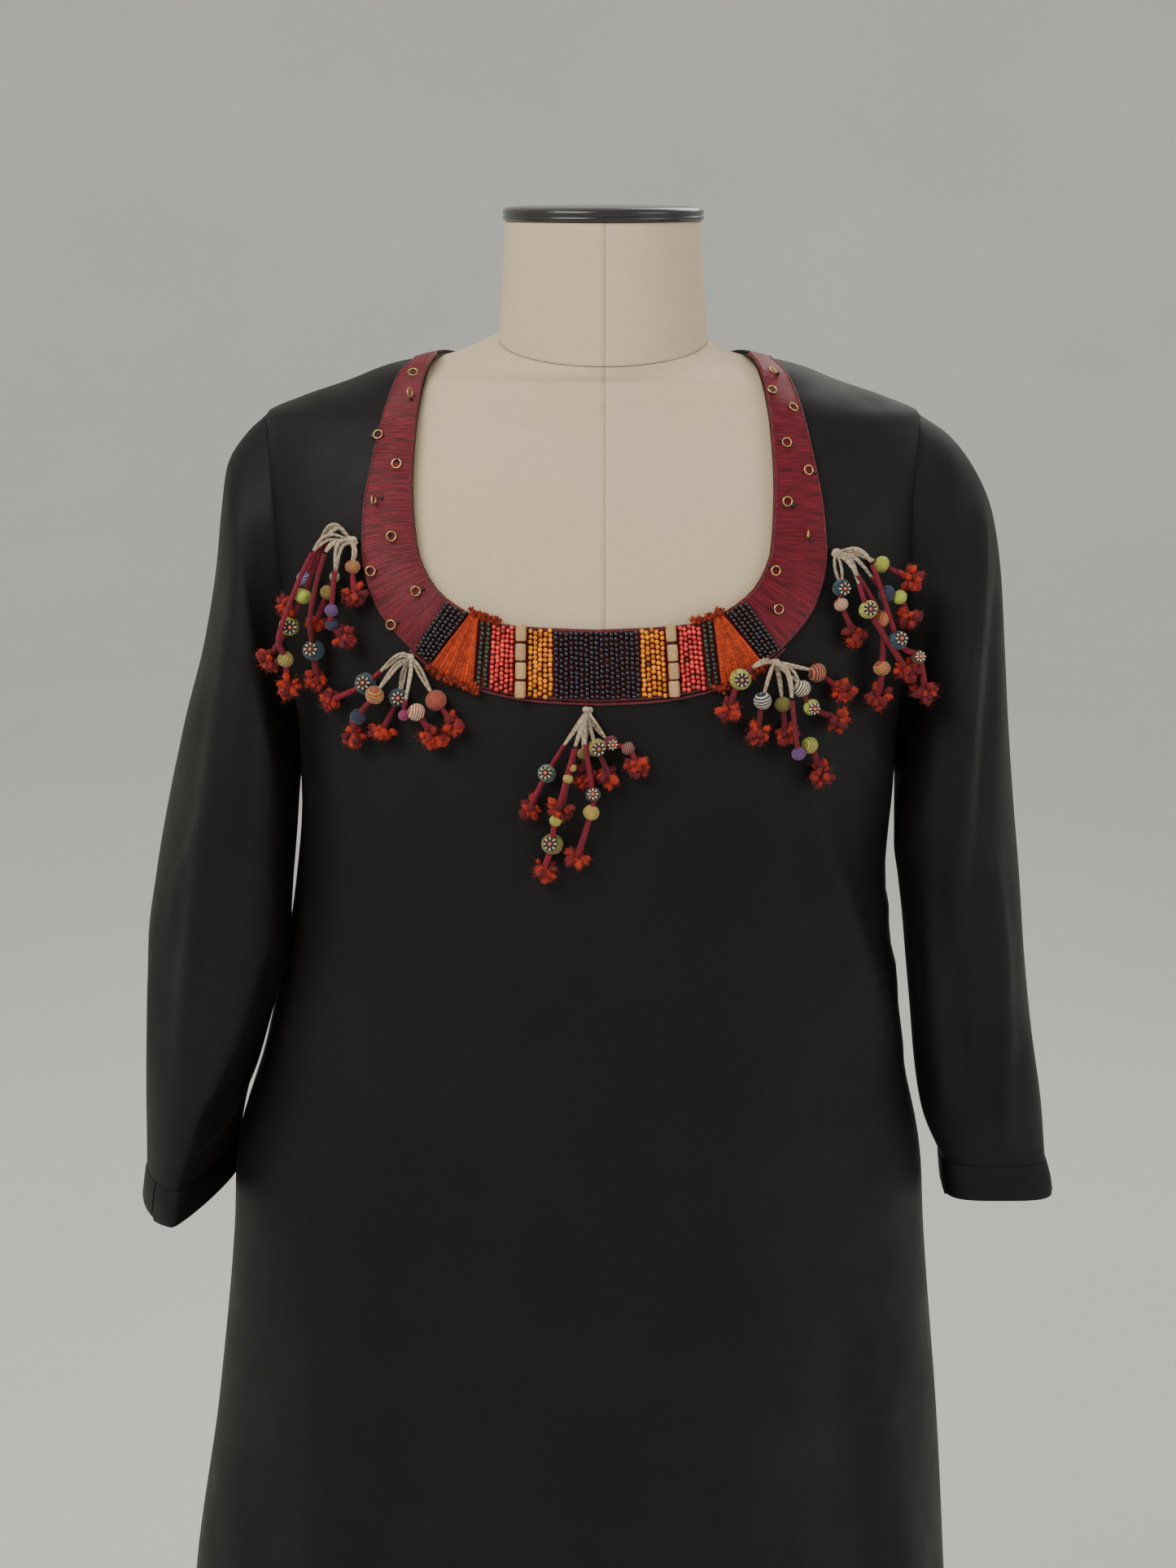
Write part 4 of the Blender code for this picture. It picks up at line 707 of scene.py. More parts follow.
def cuff_ring(angles, name, side, lower):
    """The sleeve's lowest ring, or one further down the cuff."""
    cuff = CUFFS[name]
    z = cuff["bottom_z"] + CUFF_HEIGHT - lower
    outer = (side * outline(SLEEVE_OUTER[name], z), z)
    inner = (side * outline(SLEEVE_INNER[name], z), z)
    return ring(
        angles, outer, inner, cuff["front"], cuff["side"], cuff["back"], cuff["turn"],
        cuff["skew"], cuff["roundness"],
    )


def grid_normals(grid, side):
    """Outward directions of a closed tube's grid of rings."""
    along = np.gradient(grid, axis=0)
    around = np.roll(grid, -1, axis=1) - np.roll(grid, 1, axis=1)
    out = np.cross(around, along) * side
    return out / np.linalg.norm(out, axis=2)[:, :, None]


def band_lines(side):
    return scoop_line(NECKLINE_ROWS, side), scoop_line(BAND_EDGE_ROWS, side)


def band_points(side, inner_at, outer_at, across):
    """Points on the body between the two edges of the band, as (along, across)."""
    inner_line, outer_line = band_lines(side)
    inner = at_lengths(inner_line, np.asarray(inner_at))
    outer = at_lengths(outer_line, np.asarray(outer_at))
    share = np.asarray(across)[None, :, None]
    points = inner[:, None] * (1 - share) + outer[:, None] * share
    return onto_body(points.reshape(-1, 3)).reshape(points.shape)


def band_crown(across):
    return 1 + BAND_CROWN * np.sin(math.pi * np.asarray(across))


def band_top(across):
    """Height of the band's upper face over the body, at a share of its width."""
    return CLOTH + BAND_LIFT + BAND * band_crown(across)


def front_place(x, z, lift):
    """A point at a height over the front's outer face."""
    across = x - float(section(z)[0])
    flat_across = np.clip(across, -TASSEL_REACH, TASSEL_REACH)
    point = lifted(edge_point(np.array([flat_across]), np.array([z]), FRONT), CLOTH + GAP + lift)[0]
    point[0] += across - flat_across
    return point


def form_ring(angles, height, centre, half_width, front, back, roundness, tilt):
    size = oval_size(angles, roundness)
    x = centre + half_width * np.cos(angles) / size
    y = np.sin(angles) / size
    y = np.where(y < 0, y * front, y * back)
    return np.stack([x, y, height + tilt * y], axis=1)


# Meshes and materials


def fine_mesh(name, points, faces, uv=None, tint=None):
    """A smooth-shaded mesh; uv and tint hold a value for each point."""
    mesh = bpy.data.meshes.new(name)
    mesh.from_pydata([tuple(p) for p in points], [], [tuple(f) for f in faces])
    if uv is not None:
        layer = mesh.uv_layers.new(name="weave")
        corners = np.zeros(len(mesh.loops), np.int32)
        mesh.loops.foreach_get("vertex_index", corners)
        layer.data.foreach_set("uv", np.asarray(uv, np.float32)[corners].ravel())
    if tint is not None:
        colours = np.ones((len(points), 4), np.float32)
        colours[:, :3] = tint
        mesh.color_attributes.new("tint", "FLOAT_COLOR", "POINT").data.foreach_set("color", colours.ravel())
    mesh.shade_smooth()
    mesh.validate()
    return mesh


def placed(name, mesh, finish, slot, *nodes):
    """A piece of the part: its material and the CAD nodes that it stands for; the slot is not used."""
    if finish is not None:
        mesh.materials.clear()
        mesh.materials.append(finish)
    made = bpy.data.objects.new(name, mesh)
    bpy.context.scene.collection.objects.link(made)
    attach(made, "root")
    if nodes:
        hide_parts(*nodes)
    return made


def shell(name, inner, outer, faces, uv):
    """A closed thin wall between two faces; its rims follow the open edges."""
    count = len(inner)
    edges = {}
    for face in faces:
        for a, b in zip(face, face[1:] + face[:1]):
            key = (min(a, b), max(a, b))
            edges[key] = None if key in edges else (a, b)
    walls = [[count + f for f in face] for face in faces]
    walls += [face[::-1] for face in faces]
    walls += [[count + b, count + a, a, b] for a, b in filter(None, edges.values())]
    points = np.concatenate([inner, outer])
    mesh = fine_mesh(name, points, walls, np.concatenate([uv, uv]))
    bm = bmesh.new()
    bm.from_mesh(mesh)
    bmesh.ops.recalc_face_normals(bm, faces=bm.faces)
    bm.to_mesh(mesh)
    bm.free()
    mesh.set_sharp_from_angle(angle=math.radians(60))
    return mesh


def grid_faces(rows, columns, closed=False):
    wrap = columns if closed else columns - 1
    return [
        [r * columns + c, r * columns + (c + 1) % columns,
         (r + 1) * columns + (c + 1) % columns, (r + 1) * columns + c]
        for r in range(rows - 1)
        for c in range(wrap)
    ]


def add(tree, kind, inputs=None, **settings):
    """A node with its settings, and each input linked or given its value."""
    node = tree.nodes.new(kind)
    for key, value in settings.items():
        setattr(node, key, value)
    for key, value in (inputs or {}).items():
        if isinstance(value, bpy.types.NodeSocket):
            tree.links.new(value, node.inputs[key])
        else:
            node.inputs[key].default_value = value
    return node


def sums(tree, operation, a, b=0.0, clamp=False):
    return add(tree, "ShaderNodeMath", {0: a, 1: b}, operation=operation, use_clamp=clamp).outputs[0]


def blend(tree, factor, a, b, kind="MIX"):
    """A mix of two colours; each is a socket or three numbers."""
    a = a if isinstance(a, bpy.types.NodeSocket) else (*a, 1)
    b = b if isinstance(b, bpy.types.NodeSocket) else (*b, 1)
    made = add(tree, "ShaderNodeMix", {0: factor, 6: a, 7: b}, data_type="RGBA", blend_type=kind)
    return made.outputs[2]


def stretch(tree, value, low, high, to_low=0.0, to_high=1.0):
    node = add(tree, "ShaderNodeMapRange", {0: value, 1: low, 2: high, 3: to_low, 4: to_high})
    return node.outputs[0]


def grain(tree, where, scale, detail=3.0, roughness=0.55):
    inputs = {"Vector": where, "Scale": scale, "Detail": detail, "Roughness": roughness}
    return add(tree, "ShaderNodeTexNoise", inputs).outputs["Fac"]


def bands(tree, where, pitch, direction="X", distortion=0.0):
    """Soft bands one pitch apart, from 0 to 1."""
    inputs = {"Vector": where, "Scale": math.pi / 10 / pitch, "Distortion": distortion,
              "Detail": 2.0, "Detail Scale": 1.5}
    return add(tree, "ShaderNodeTexWave", inputs, bands_direction=direction).outputs["Fac"]


def relief(tree, height, distance, strength=1.0, under=None):
    inputs = {"Height": height, "Distance": distance, "Strength": strength}
    if under is not None:
        inputs["Normal"] = under
    return add(tree, "ShaderNodeBump", inputs).outputs["Normal"]


def finish_named(name, colour, roughness, metallic=0.0, **values):
    """A new material; uniform values go straight onto the shader's own sockets."""
    made = bpy.data.materials.new(name)
    made.use_nodes = True
    made.diffuse_color = (*colour, 1)
    tree = made.node_tree
    shader = tree.nodes["Principled BSDF"]
    shader.inputs["Base Color"].default_value = (*colour, 1)
    shader.inputs["Roughness"].default_value = roughness
    shader.inputs["Metallic"].default_value = metallic
    for key, value in values.items():
        shader.inputs[key.replace("_", " ")].default_value = value
    return made, tree, shader


def shade(colour, *shares):
    """A colour with every channel, or each channel, made lighter or darker."""
    return tuple(c * share for c, share in zip(colour, shares * 3 if len(shares) == 1 else shares))


def drawn_out(tree, where, scale):
    """The pattern's place with each axis scaled on its own, so that a grain becomes streaks."""
    return add(tree, "ShaderNodeMapping", {"Vector": where, "Scale": scale}).outputs[0]


def own_place(tree):
    return add(tree, "ShaderNodeTexCoord").outputs["Object"]


def own_weave(tree):
    return add(tree, "ShaderNodeUVMap", uv_map="weave").outputs["UV"]


def own_tint(tree):
    return add(tree, "ShaderNodeAttribute", attribute_name="tint").outputs["Color"]


def silk_finish(name="woven_silk"):
    """Dark silk: a fine weave, soft cloudy sheen and faint slubs."""
    cloth = bpy.context.scene.tunic_cloth
    colour = tuple(cloth.silk_colour)
    made, tree, shader = finish_named(
        name, colour, cloth.silk_roughness, Sheen_Weight=cloth.silk_sheen, Sheen_Roughness=0.35,
        Sheen_Tint=(0.75, 0.68, 0.60, 1), Specular_IOR_Level=0.22)
    where, weave = own_place(tree), own_weave(tree)
    cloudy = grain(tree, where, 9.0, 4.0)
    base = blend(tree, stretch(tree, cloudy, 0.35, 0.7), colour, shade(colour, 1.9))
    slub = grain(tree, drawn_out(tree, weave, (30, 900, 1)), 1.0, 2.0)
    base = blend(tree, stretch(tree, slub, 0.55, 0.75, 0.0, 0.35), base, shade(colour, 2.2))
    tree.links.new(base, shader.inputs["Base Color"])
    across = bands(tree, weave, cloth.weave_pitch, "X", 0.4)
    along = bands(tree, weave, cloth.weave_pitch, "Y", 0.4)
    threads = sums(tree, "MAXIMUM", across, along)
    fine = relief(tree, threads, 0.00005, 0.35)
    soft = relief(tree, grain(tree, where, 45.0, 3.0), 0.0006, 0.30, fine)
    tree.links.new(soft, shader.inputs["Normal"])
    smoother, rougher = cloth.silk_roughness - 0.06, cloth.silk_roughness + 0.08
    rough = stretch(tree, grain(tree, where, 22.0, 3.0), 0.3, 0.7, smoother, rougher)
    tree.links.new(rough, shader.inputs["Roughness"])
    return made


def satin_stitch_finish():
    """Maroon thread laid side by side across the band, a little uneven from thread to thread, with painted
    shade darkening the grooves between stitches.
    """
    band = bpy.context.scene.tunic_band
    colour = tuple(band.thread_colour)
    made, tree, shader = finish_named(
        "maroon_satin_stitch", colour, 0.42, Sheen_Weight=0.10, Sheen_Roughness=0.4,
        Sheen_Tint=(0.9, 0.2, 0.2, 1), Specular_IOR_Level=0.3)
    weave = own_weave(tree)
    per_thread = grain(tree, drawn_out(tree, weave, (1100, 45, 1)), 1.0, 2.0)
    long_tone = grain(tree, drawn_out(tree, weave, (160, 20, 1)), 1.0, 3.0)
    darker = shade(colour, 0.42)
    lighter = tuple(min(1.0, c * 1.55 + 0.004) for c in colour)
    base = blend(tree, stretch(tree, per_thread, 0.35, 0.68), darker, lighter)
    base = blend(tree, stretch(tree, long_tone, 0.3, 0.75, 0.0, 0.45), base, darker)
    ridges = bands(tree, weave, band.thread_pitch, "X", 1.2)
    # Painted shade: the grooves between the stitches are darkened toward a fifth of the thread colour.
    base = blend(tree, stretch(tree, ridges, 0.0, 0.35, 0.55, 0.0), base, shade(colour, 0.2))
    tree.links.new(base, shader.inputs["Base Color"])
    fine = relief(tree, ridges, 0.00022, 0.8)
    uneven = relief(tree, per_thread, 0.00035, 0.5, fine)
    tree.links.new(uneven, shader.inputs["Normal"])
    return made


def linen_finish():
    """Beige twill with a diagonal rib, slubs and a pressed seam down the middle."""
    form = bpy.context.scene.tunic_form
    colour = tuple(form.linen_colour)
    made, tree, shader = finish_named(
        "linen", colour, 0.85, Sheen_Weight=0.12, Sheen_Tint=(1.0, 0.95, 0.85, 1))
    where = own_place(tree)
    weave = own_weave(tree)
    turn = (0, 0, math.radians(TWILL_SLANT))
    turned_weave = add(tree, "ShaderNodeMapping", {"Vector": weave, "Rotation": turn}).outputs[0]
    rib = bands(tree, turned_weave, form.twill_pitch, "X", 1.5)
    cross = bands(tree, weave, form.twill_pitch * 0.9, "Y", 1.0)
    slub = grain(tree, drawn_out(tree, weave, (140, 900, 1)), 1.0, 3.0)
    cloudy = grain(tree, where, 14.0, 3.0)
    base = blend(tree, stretch(tree, rib, 0.05, 0.6), shade(colour, 0.72), shade(colour, 1.08))
    base = blend(tree, stretch(tree, slub, 0.5, 0.75, 0.0, 0.5), base, shade(colour, 0.80))
    yellowed = shade(colour, 1.0, 0.96, 0.86)
    base = blend(tree, stretch(tree, cloudy, 0.4, 0.75, 0.0, 0.35), base, yellowed)
    part = add(tree, "ShaderNodeSeparateXYZ", {0: where}).outputs
    off_seam = sums(tree, "ABSOLUTE", sums(tree, "SUBTRACT", part["X"], form.seam_x))
    seam = stretch(tree, off_seam, 0.0003, 0.0009, 1.0, 0.0)
    base = blend(tree, sums(tree, "MULTIPLY", seam, 0.45), base, shade(colour, 0.35))
    tree.links.new(base, shader.inputs["Base Color"])
    woven = sums(tree, "ADD", rib, sums(tree, "MULTIPLY", cross, 0.4))
    fine = relief(tree, woven, 0.00016, 0.75)
    slubs = relief(tree, slub, 0.0003, 0.35, fine)
    pressed = relief(tree, stretch(tree, off_seam, 0.0, 0.0026, 0.0, 1.0), 0.0009, 0.8, slubs)
    tree.links.new(pressed, shader.inputs["Normal"])
    return made


def lacquer_finish():
    """Black lacquer, a little worn."""
    made, tree, shader = finish_named(
        "black_lacquer", (0.010, 0.010, 0.011), 0.22, Coat_Weight=0.4, Coat_Roughness=0.12)
    where = own_place(tree)
    worn = grain(tree, where, 60.0, 4.0)
    tree.links.new(stretch(tree, worn, 0.35, 0.75, 0.20, 0.38), shader.inputs["Roughness"])
    patches = stretch(tree, grain(tree, where, 25.0), 0.5, 0.8)
    base = blend(tree, patches, (0.009, 0.009, 0.010), (0.022, 0.021, 0.020))
    tree.links.new(base, shader.inputs["Base Color"])
    tree.links.new(relief(tree, grain(tree, where, 350.0, 2.0), 0.00008, 0.25), shader.inputs["Normal"])
    return made


def iron_finish():
    """Cast iron, dark and patchy."""
    made, tree, shader = finish_named("dark_iron", (0.03, 0.03, 0.032), 0.45, 0.7)
    where = own_place(tree)
    cast = grain(tree, where, 240.0, 4.0)
    patch_tone = grain(tree, where, 18.0, 4.0)
    base = blend(tree, stretch(tree, patch_tone, 0.4, 0.7), (0.020, 0.020, 0.022), (0.055, 0.052, 0.050))
    tree.links.new(base, shader.inputs["Base Color"])
    tree.links.new(stretch(tree, patch_tone, 0.3, 0.7, 0.36, 0.60), shader.inputs["Roughness"])
    tree.links.new(relief(tree, cast, 0.0003, 0.4), shader.inputs["Normal"])
    return made


def tinted_finish(name, colour, roughness, pitch=None, distance=0.0002, scatter=0.35, sheen=0.0, **values):
    """A finish that takes its colour from each point's tint, with strands or a fine grain; the grooves
    between strands get painted shade.
    """
    made, tree, shader = finish_named(name, colour, roughness, Sheen_Weight=sheen, **values)
    where, tint = own_place(tree), own_tint(tree)
    tone = grain(tree, where, 420.0, 3.0)
    dark = blend(tree, 1.0, tint, (0.45, 0.42, 0.42), "MULTIPLY")
    base = blend(tree, stretch(tree, tone, 0.35, 0.35 + scatter, 1.0, 0.0), tint, dark)
    height = tone
    if pitch:
        strands = bands(tree, own_weave(tree), pitch, "DIAGONAL", 0.6)
        # Painted shade: the grooves between the strands are darkened to under a third of the tint.
        between = blend(tree, 1.0, tint, (0.3, 0.27, 0.27), "MULTIPLY")
        base = blend(tree, stretch(tree, strands, 0.0, 0.45, 0.7, 0.0), base, between)
        height = sums(tree, "ADD", strands, sums(tree, "MULTIPLY", tone, 0.4))
    tree.links.new(base, shader.inputs["Base Color"])
    tree.links.new(relief(tree, height, distance, 0.7), shader.inputs["Normal"])
    return made


# Cloth


def crease_heights(points, creases):
    """How far the listed creases raise each point; each follows a line in the front view."""
    total = np.zeros(len(points))
    flat = points[:, [0, 2]]
    for width, height, *line in creases:
        line = np.array(line, float)
        run = np.concatenate([[0], np.cumsum(np.linalg.norm(np.diff(line, axis=0), axis=1))])
        best, share = np.full(len(points), 1e9), np.zeros(len(points))
        for k in range(len(line) - 1):
            step = line[k + 1] - line[k]
            along = np.clip(((flat - line[k]) @ step) / (step @ step), 0, 1)
            away = np.linalg.norm(flat - line[k] - along[:, None] * step, axis=1)
            nearer = away < best
            best = np.where(nearer, away, best)
            share = np.where(nearer, (run[k] + along * np.linalg.norm(step)) / run[-1], share)
        fade = np.sin(math.pi * np.clip(share, 0.001, 0.999)) ** 0.6
        total += height * fade * np.exp(-((best / (width * (0.55 + 0.45 * fade))) ** 2))
    return total


def cloth_grid(side, face, folds, creases):
    inner, outer = panel_rows(side, face)
    if face == FRONT:
        bottom = evenly(hem_line(side, face), FRONT_COLUMNS)
        top = evenly(shoulder_seam(side), FRONT_COLUMNS)
    else:
        bottom = evenly(hem_line(side, face), BACK_NECK_COLUMNS + BACK_SHOULDER_COLUMNS)
        neck = evenly(back_neck_line(side), BACK_NECK_COLUMNS)
        top = np.concatenate([neck[:-1], evenly(shoulder_seam(side), BACK_SHOULDER_COLUMNS)])
    points = patch(inner, outer, bottom, top)
    flat = points.reshape(-1, 3)
    shaped = shaped_cloth(flat, face, folds)
    depth = bpy.context.scene.tunic_cloth.crease_depth
    shaped = lifted(shaped, depth * crease_heights(shaped, creases))
    return shaped.reshape(points.shape)


def panel(name, face, folds, creases, joined_rows, finish):
    """A whole panel: two halves that share their middle column up to the neckline."""
    points, faces, uv, shared = [], [], [], {}
    for _, side in SIDES:
        half = cloth_grid(side, face, folds, creases)
        rows, columns = half.shape[:2]
        across = np.zeros((rows, columns))
        across[:, 1:] = np.cumsum(np.linalg.norm(np.diff(half, axis=1), axis=2), axis=1)
        along = np.zeros((rows, columns))
        along[1:] = np.cumsum(np.linalg.norm(np.diff(half, axis=0), axis=2), axis=0)
        index = np.zeros((rows, columns), int)
        for r in range(rows):
            for c in range(columns):
                if c == 0 and r in shared:
                    index[r, c] = shared[r]
                    continue
                if c == 0 and r < joined_rows:
                    shared[r] = len(points)
                index[r, c] = len(points)
                points.append(half[r, c])
                uv.append((side * across[r, c], along[r, c]))
        for r in range(rows - 1):
            for c in range(columns - 1):
                faces.append([int(index[r, c]), int(index[r, c + 1]),
                              int(index[r + 1, c + 1]), int(index[r + 1, c])])
    points = np.array(points)
    flat = points.copy()
    flat[:, 1] -= face * GAP / 2
    mesh = shell(name, points, points + CLOTH * normals(flat), faces, np.array(uv))
    return placed(name + "_cloth", mesh, finish, "black_silk", name)


def sleeve_rings(name, side):
    """Outer face of a sleeve, ring by ring, with more rings and columns than its solid."""
    front = evenly(armhole_line(side, FRONT), FINER * (SOLID_FRONT_PARTS))
    back = evenly(armhole_line(side, BACK), FINER * SOLID_BACK_PARTS)
    armhole = np.concatenate([front[::-1], back[1:-1]])
    angles = np.concatenate([
        np.linspace(0, math.pi, len(front)),
        np.linspace(math.pi, 2 * math.pi, len(back))[1:-1],
    ])
    away = normals(armhole)
    tangent = np.roll(armhole, -1, axis=0) - np.roll(armhole, 1, axis=0)
    across = np.cross(tangent, away) * -side
    across /= np.linalg.norm(across, axis=1)[:, None]
    seam = armhole + 1.5 * GAP * across + np.array([side * GAP, 0, 0])
    rings = [seam + CLOTH * away]
    for outer_z, inner_z, *shape in SLEEVE_RINGS[name]:
        outer = (side * outline(SLEEVE_OUTER[name], outer_z), outer_z)
        inner = (side * outline(SLEEVE_INNER[name], inner_z), inner_z)
        rings.append(ring(angles, outer, inner, *shape))
    rings.append(cuff_ring(angles, name, side, 0))
    coarse = np.array(rings)
    knots = np.arange(len(coarse))
    at = np.linspace(0, len(coarse) - 1, FINER * 2 * (len(coarse) - 1) + 1)
    fine = np.zeros((len(at), *coarse.shape[1:]))
    for c in range(coarse.shape[1]):
        for k in range(3):
            fine[:, c, k] = smooth(knots, coarse[:, c, k], at)
    return fine, seam


def sleeve(name, side, creases, finish):
    outer_face, seam = sleeve_rings(name, side)
    out = grid_normals(outer_face, side)
    rows, columns = outer_face.shape[:2]
    depth = bpy.context.scene.tunic_cloth.crease_depth
    middle = outer_face.mean(axis=1, keepdims=True)
    ahead = np.clip((middle[:, :, 1] - outer_face[:, :, 1]) / 0.03, -1, 1)
    ends = np.minimum(np.arange(rows) / 4, 1)[:, None]
    raised = np.zeros((rows, columns))
    for lines, sign in ((creases["front"], 1), (creases["back"], -1)):
        heights = crease_heights(outer_face.reshape(-1, 3), lines).reshape(rows, columns)
        raised += heights * np.clip(sign * ahead, 0, 1)
    outer_face = outer_face + (depth * raised * ends)[:, :, None] * out
    out = grid_normals(outer_face, side)
    inner_face = outer_face - CLOTH * out
    inner_face[0] = seam
    inner_face[-1, :, 2] = outer_face[-1, :, 2]
    around = np.cumsum(np.linalg.norm(outer_face - np.roll(outer_face, 1, axis=1), axis=2), axis=1)
    along = np.cumsum(np.linalg.norm(np.diff(outer_face, axis=0, prepend=outer_face[:1]), axis=2), axis=0)
    uv = np.stack([around, along], axis=2).reshape(-1, 2)
    faces = grid_faces(rows, columns, closed=True)
    mesh = shell(name + "_sleeve", inner_face.reshape(-1, 3), outer_face.reshape(-1, 3), faces, uv)
    return placed(name + "_sleeve_cloth", mesh, finish, "black_silk", name + "_sleeve")


def cuff(name, side, finish):
    slit = CUFFS[name]["slit"] * 2 * math.pi
    angles = slit + np.linspace(CUFF_SLIT, 2 * math.pi - CUFF_SLIT, FINER * CUFF_COLUMNS)
    levels = [GAP, 0.001, 0.0022, CUFF_HEIGHT / 2, CUFF_HEIGHT - 0.003, CUFF_HEIGHT - 0.0008, CUFF_HEIGHT]
    grid = np.array([cuff_ring(angles, name, side, lower) for lower in levels])
    lowered = np.clip(1 - np.arange(len(angles)) / (FINER * CUFF_STEP_COLUMNS), 0, 1)
    grid[:, :, 2] -= CUFF_STEP * lowered * (np.array(levels) / CUFF_HEIGHT)[:, None]
    out = np.cross(np.gradient(grid, axis=1), np.gradient(grid, axis=0)) * side
    out /= np.linalg.norm(out, axis=2)[:, :, None]
    grid[1:5] += np.array([0.0003, 0.0007, 0.0009, 0.0008])[:, None, None] * out[1:5]
    inner_face = grid - CLOTH * out
    inner_face[:, :, 2] = grid[:, :, 2]
    rows, columns = grid.shape[:2]
    around = np.cumsum(np.linalg.norm(grid - np.roll(grid, 1, axis=1), axis=2), axis=1)
    around[:, 0] = 0
    along = np.repeat(np.array(levels)[:, None], columns, axis=1)
    uv = np.stack([around, along], axis=2).reshape(-1, 2)
    faces = grid_faces(rows, columns)
    mesh = shell(name + "_cuff", inner_face.reshape(-1, 3), grid.reshape(-1, 3), faces, uv)
    return placed(name + "_cuff_cloth", mesh, finish, "black_silk", name + "_cuff")


# Neck band


def straight_across(inner_line, outer_line, inner_at):
    """Where threads that cross the band squarely from these places of its inner edge meet the outer edge."""
    run = lengths(outer_line)
    starts = at_lengths(inner_line, inner_at)
    apart = np.linalg.norm(starts[:, None] - outer_line[None], axis=2)
    nearest = np.maximum.accumulate(run[apart.argmin(axis=1)])
    padded = np.pad(nearest, 6, mode="reflect", reflect_type="odd")
    soft = np.convolve(padded, np.ones(13) / 13, mode="valid")
    share = np.linspace(0, 1, len(soft))
    soft = soft - soft[0]
    return soft * (1 - share) + share * soft * run[-1] * BAND_SHARE / soft[-1]


def neck_band_mesh():
    halves, uvs = [], []
    across = np.linspace(0, 1, BAND_ACROSS + 1)
    for _, side in SIDES:
        inner_line, outer_line = band_lines(side)
        inner_at = np.linspace(0, lengths(inner_line)[-1] * BAND_SHARE, BAND_PARTS // 2 + 1)
        outer_at = straight_across(inner_line, outer_line, inner_at)
        halves.append(band_points(side, inner_at, outer_at, across))
        middle = (inner_at + outer_at) / 2
        uvs.append(np.stack(np.broadcast_arrays(side * middle[:, None], 0.038 * across[None]), axis=2))
    grid = np.concatenate([halves[0][:0:-1], halves[1]])
    uv = np.concatenate([uvs[0][:0:-1], uvs[1]])
    flat = grid.reshape(-1, 3)
    crown = np.tile(band_crown(across), len(grid))
    base = CLOTH + BAND_LIFT
    return shell("neck_band", lifted(flat, base), lifted(flat, base + BAND * crown),
                 grid_faces(grid.shape[0], grid.shape[1]), uv.reshape(-1, 2))


def binding_mesh():
    halves = []
    for _, side in SIDES:
        line = evenly(back_neck_line(side), BACK_NECK_COLUMNS)
        lower = line.copy()
        lower[:, 2] -= BINDING_DROP
        lower[:, 1] += BINDING_BACK
        lower[:, 0] += side * BINDING_OUT * np.linspace(0, 1, len(line))
        upper, lower = onto_body(line), onto_body(lower)
        lower[-1, 1] = max(lower[-1, 1], BINDING_END_Y)
        upper[-1, 1] = max(upper[-1, 1], BINDING_END_Y)
        steps = [onto_body(upper * (1 - t) + lower * t) for t in (0, 0.25, 0.5, 0.75, 1)]
        halves.append(np.stack(steps, axis=1))
    grid = np.concatenate([halves[0][:0:-1], halves[1]])
    grid[:, :, 1] += GAP / 2
    flat = grid.reshape(-1, 3)
    along = np.cumsum(np.linalg.norm(np.diff(grid[:, 0], axis=0, prepend=grid[:1, 0]), axis=1))
    uv = np.stack(np.broadcast_arrays(along[:, None], 0.0075 * np.linspace(0, 1, 5)[None]), axis=2)
    crown = np.tile(0.0003 * np.sin(np.linspace(0, math.pi, 5)), len(grid))
    base = CLOTH + GAP + BINDING_LIFT
    return shell("back_neck_binding", lifted(flat, base), lifted(flat, base + CLOTH + crown),
                 grid_faces(grid.shape[0], 5), uv.reshape(-1, 2))


# Dress form


def torso_mesh(sides=128, steps=6):
    """The torso's own rings, with smooth rings between them and a rounded underside."""
    rows = [(row[0], *row[1:], 0.0) for row in FORM_ROWS]
    tilt_from = FORM_LEVELS[-3][0]
    for level, less_width, less_depth in FORM_LEVELS:
        centre, half_width, front, back, roundness = (float(v) for v in section(level))
        tilt = NECK_TILT * max(level - tilt_from, 0) / (FORM_TOP_Z - tilt_from)
        rows.append((level - FORM_DROP, centre, half_width - less_width,
                     front - less_depth, back - less_depth, roundness, tilt))
    rows.append((FORM_TOP_Z, 0, NECK_RADIUS, NECK_RADIUS, NECK_RADIUS, 2.0, NECK_TILT))
    rows = np.array(rows, float)
    knots = np.arange(len(rows))
    at = np.linspace(0, len(rows) - 1, steps * (len(rows) - 1) + 1)
    fine = np.stack([smooth(knots, rows[:, k], at) for k in range(rows.shape[1])], axis=1)
    angles = np.linspace(0, 2 * math.pi, sides, endpoint=False)
    grid = np.array([form_ring(angles, *row) for row in fine])
    return closed_loft("form_torso", grid)


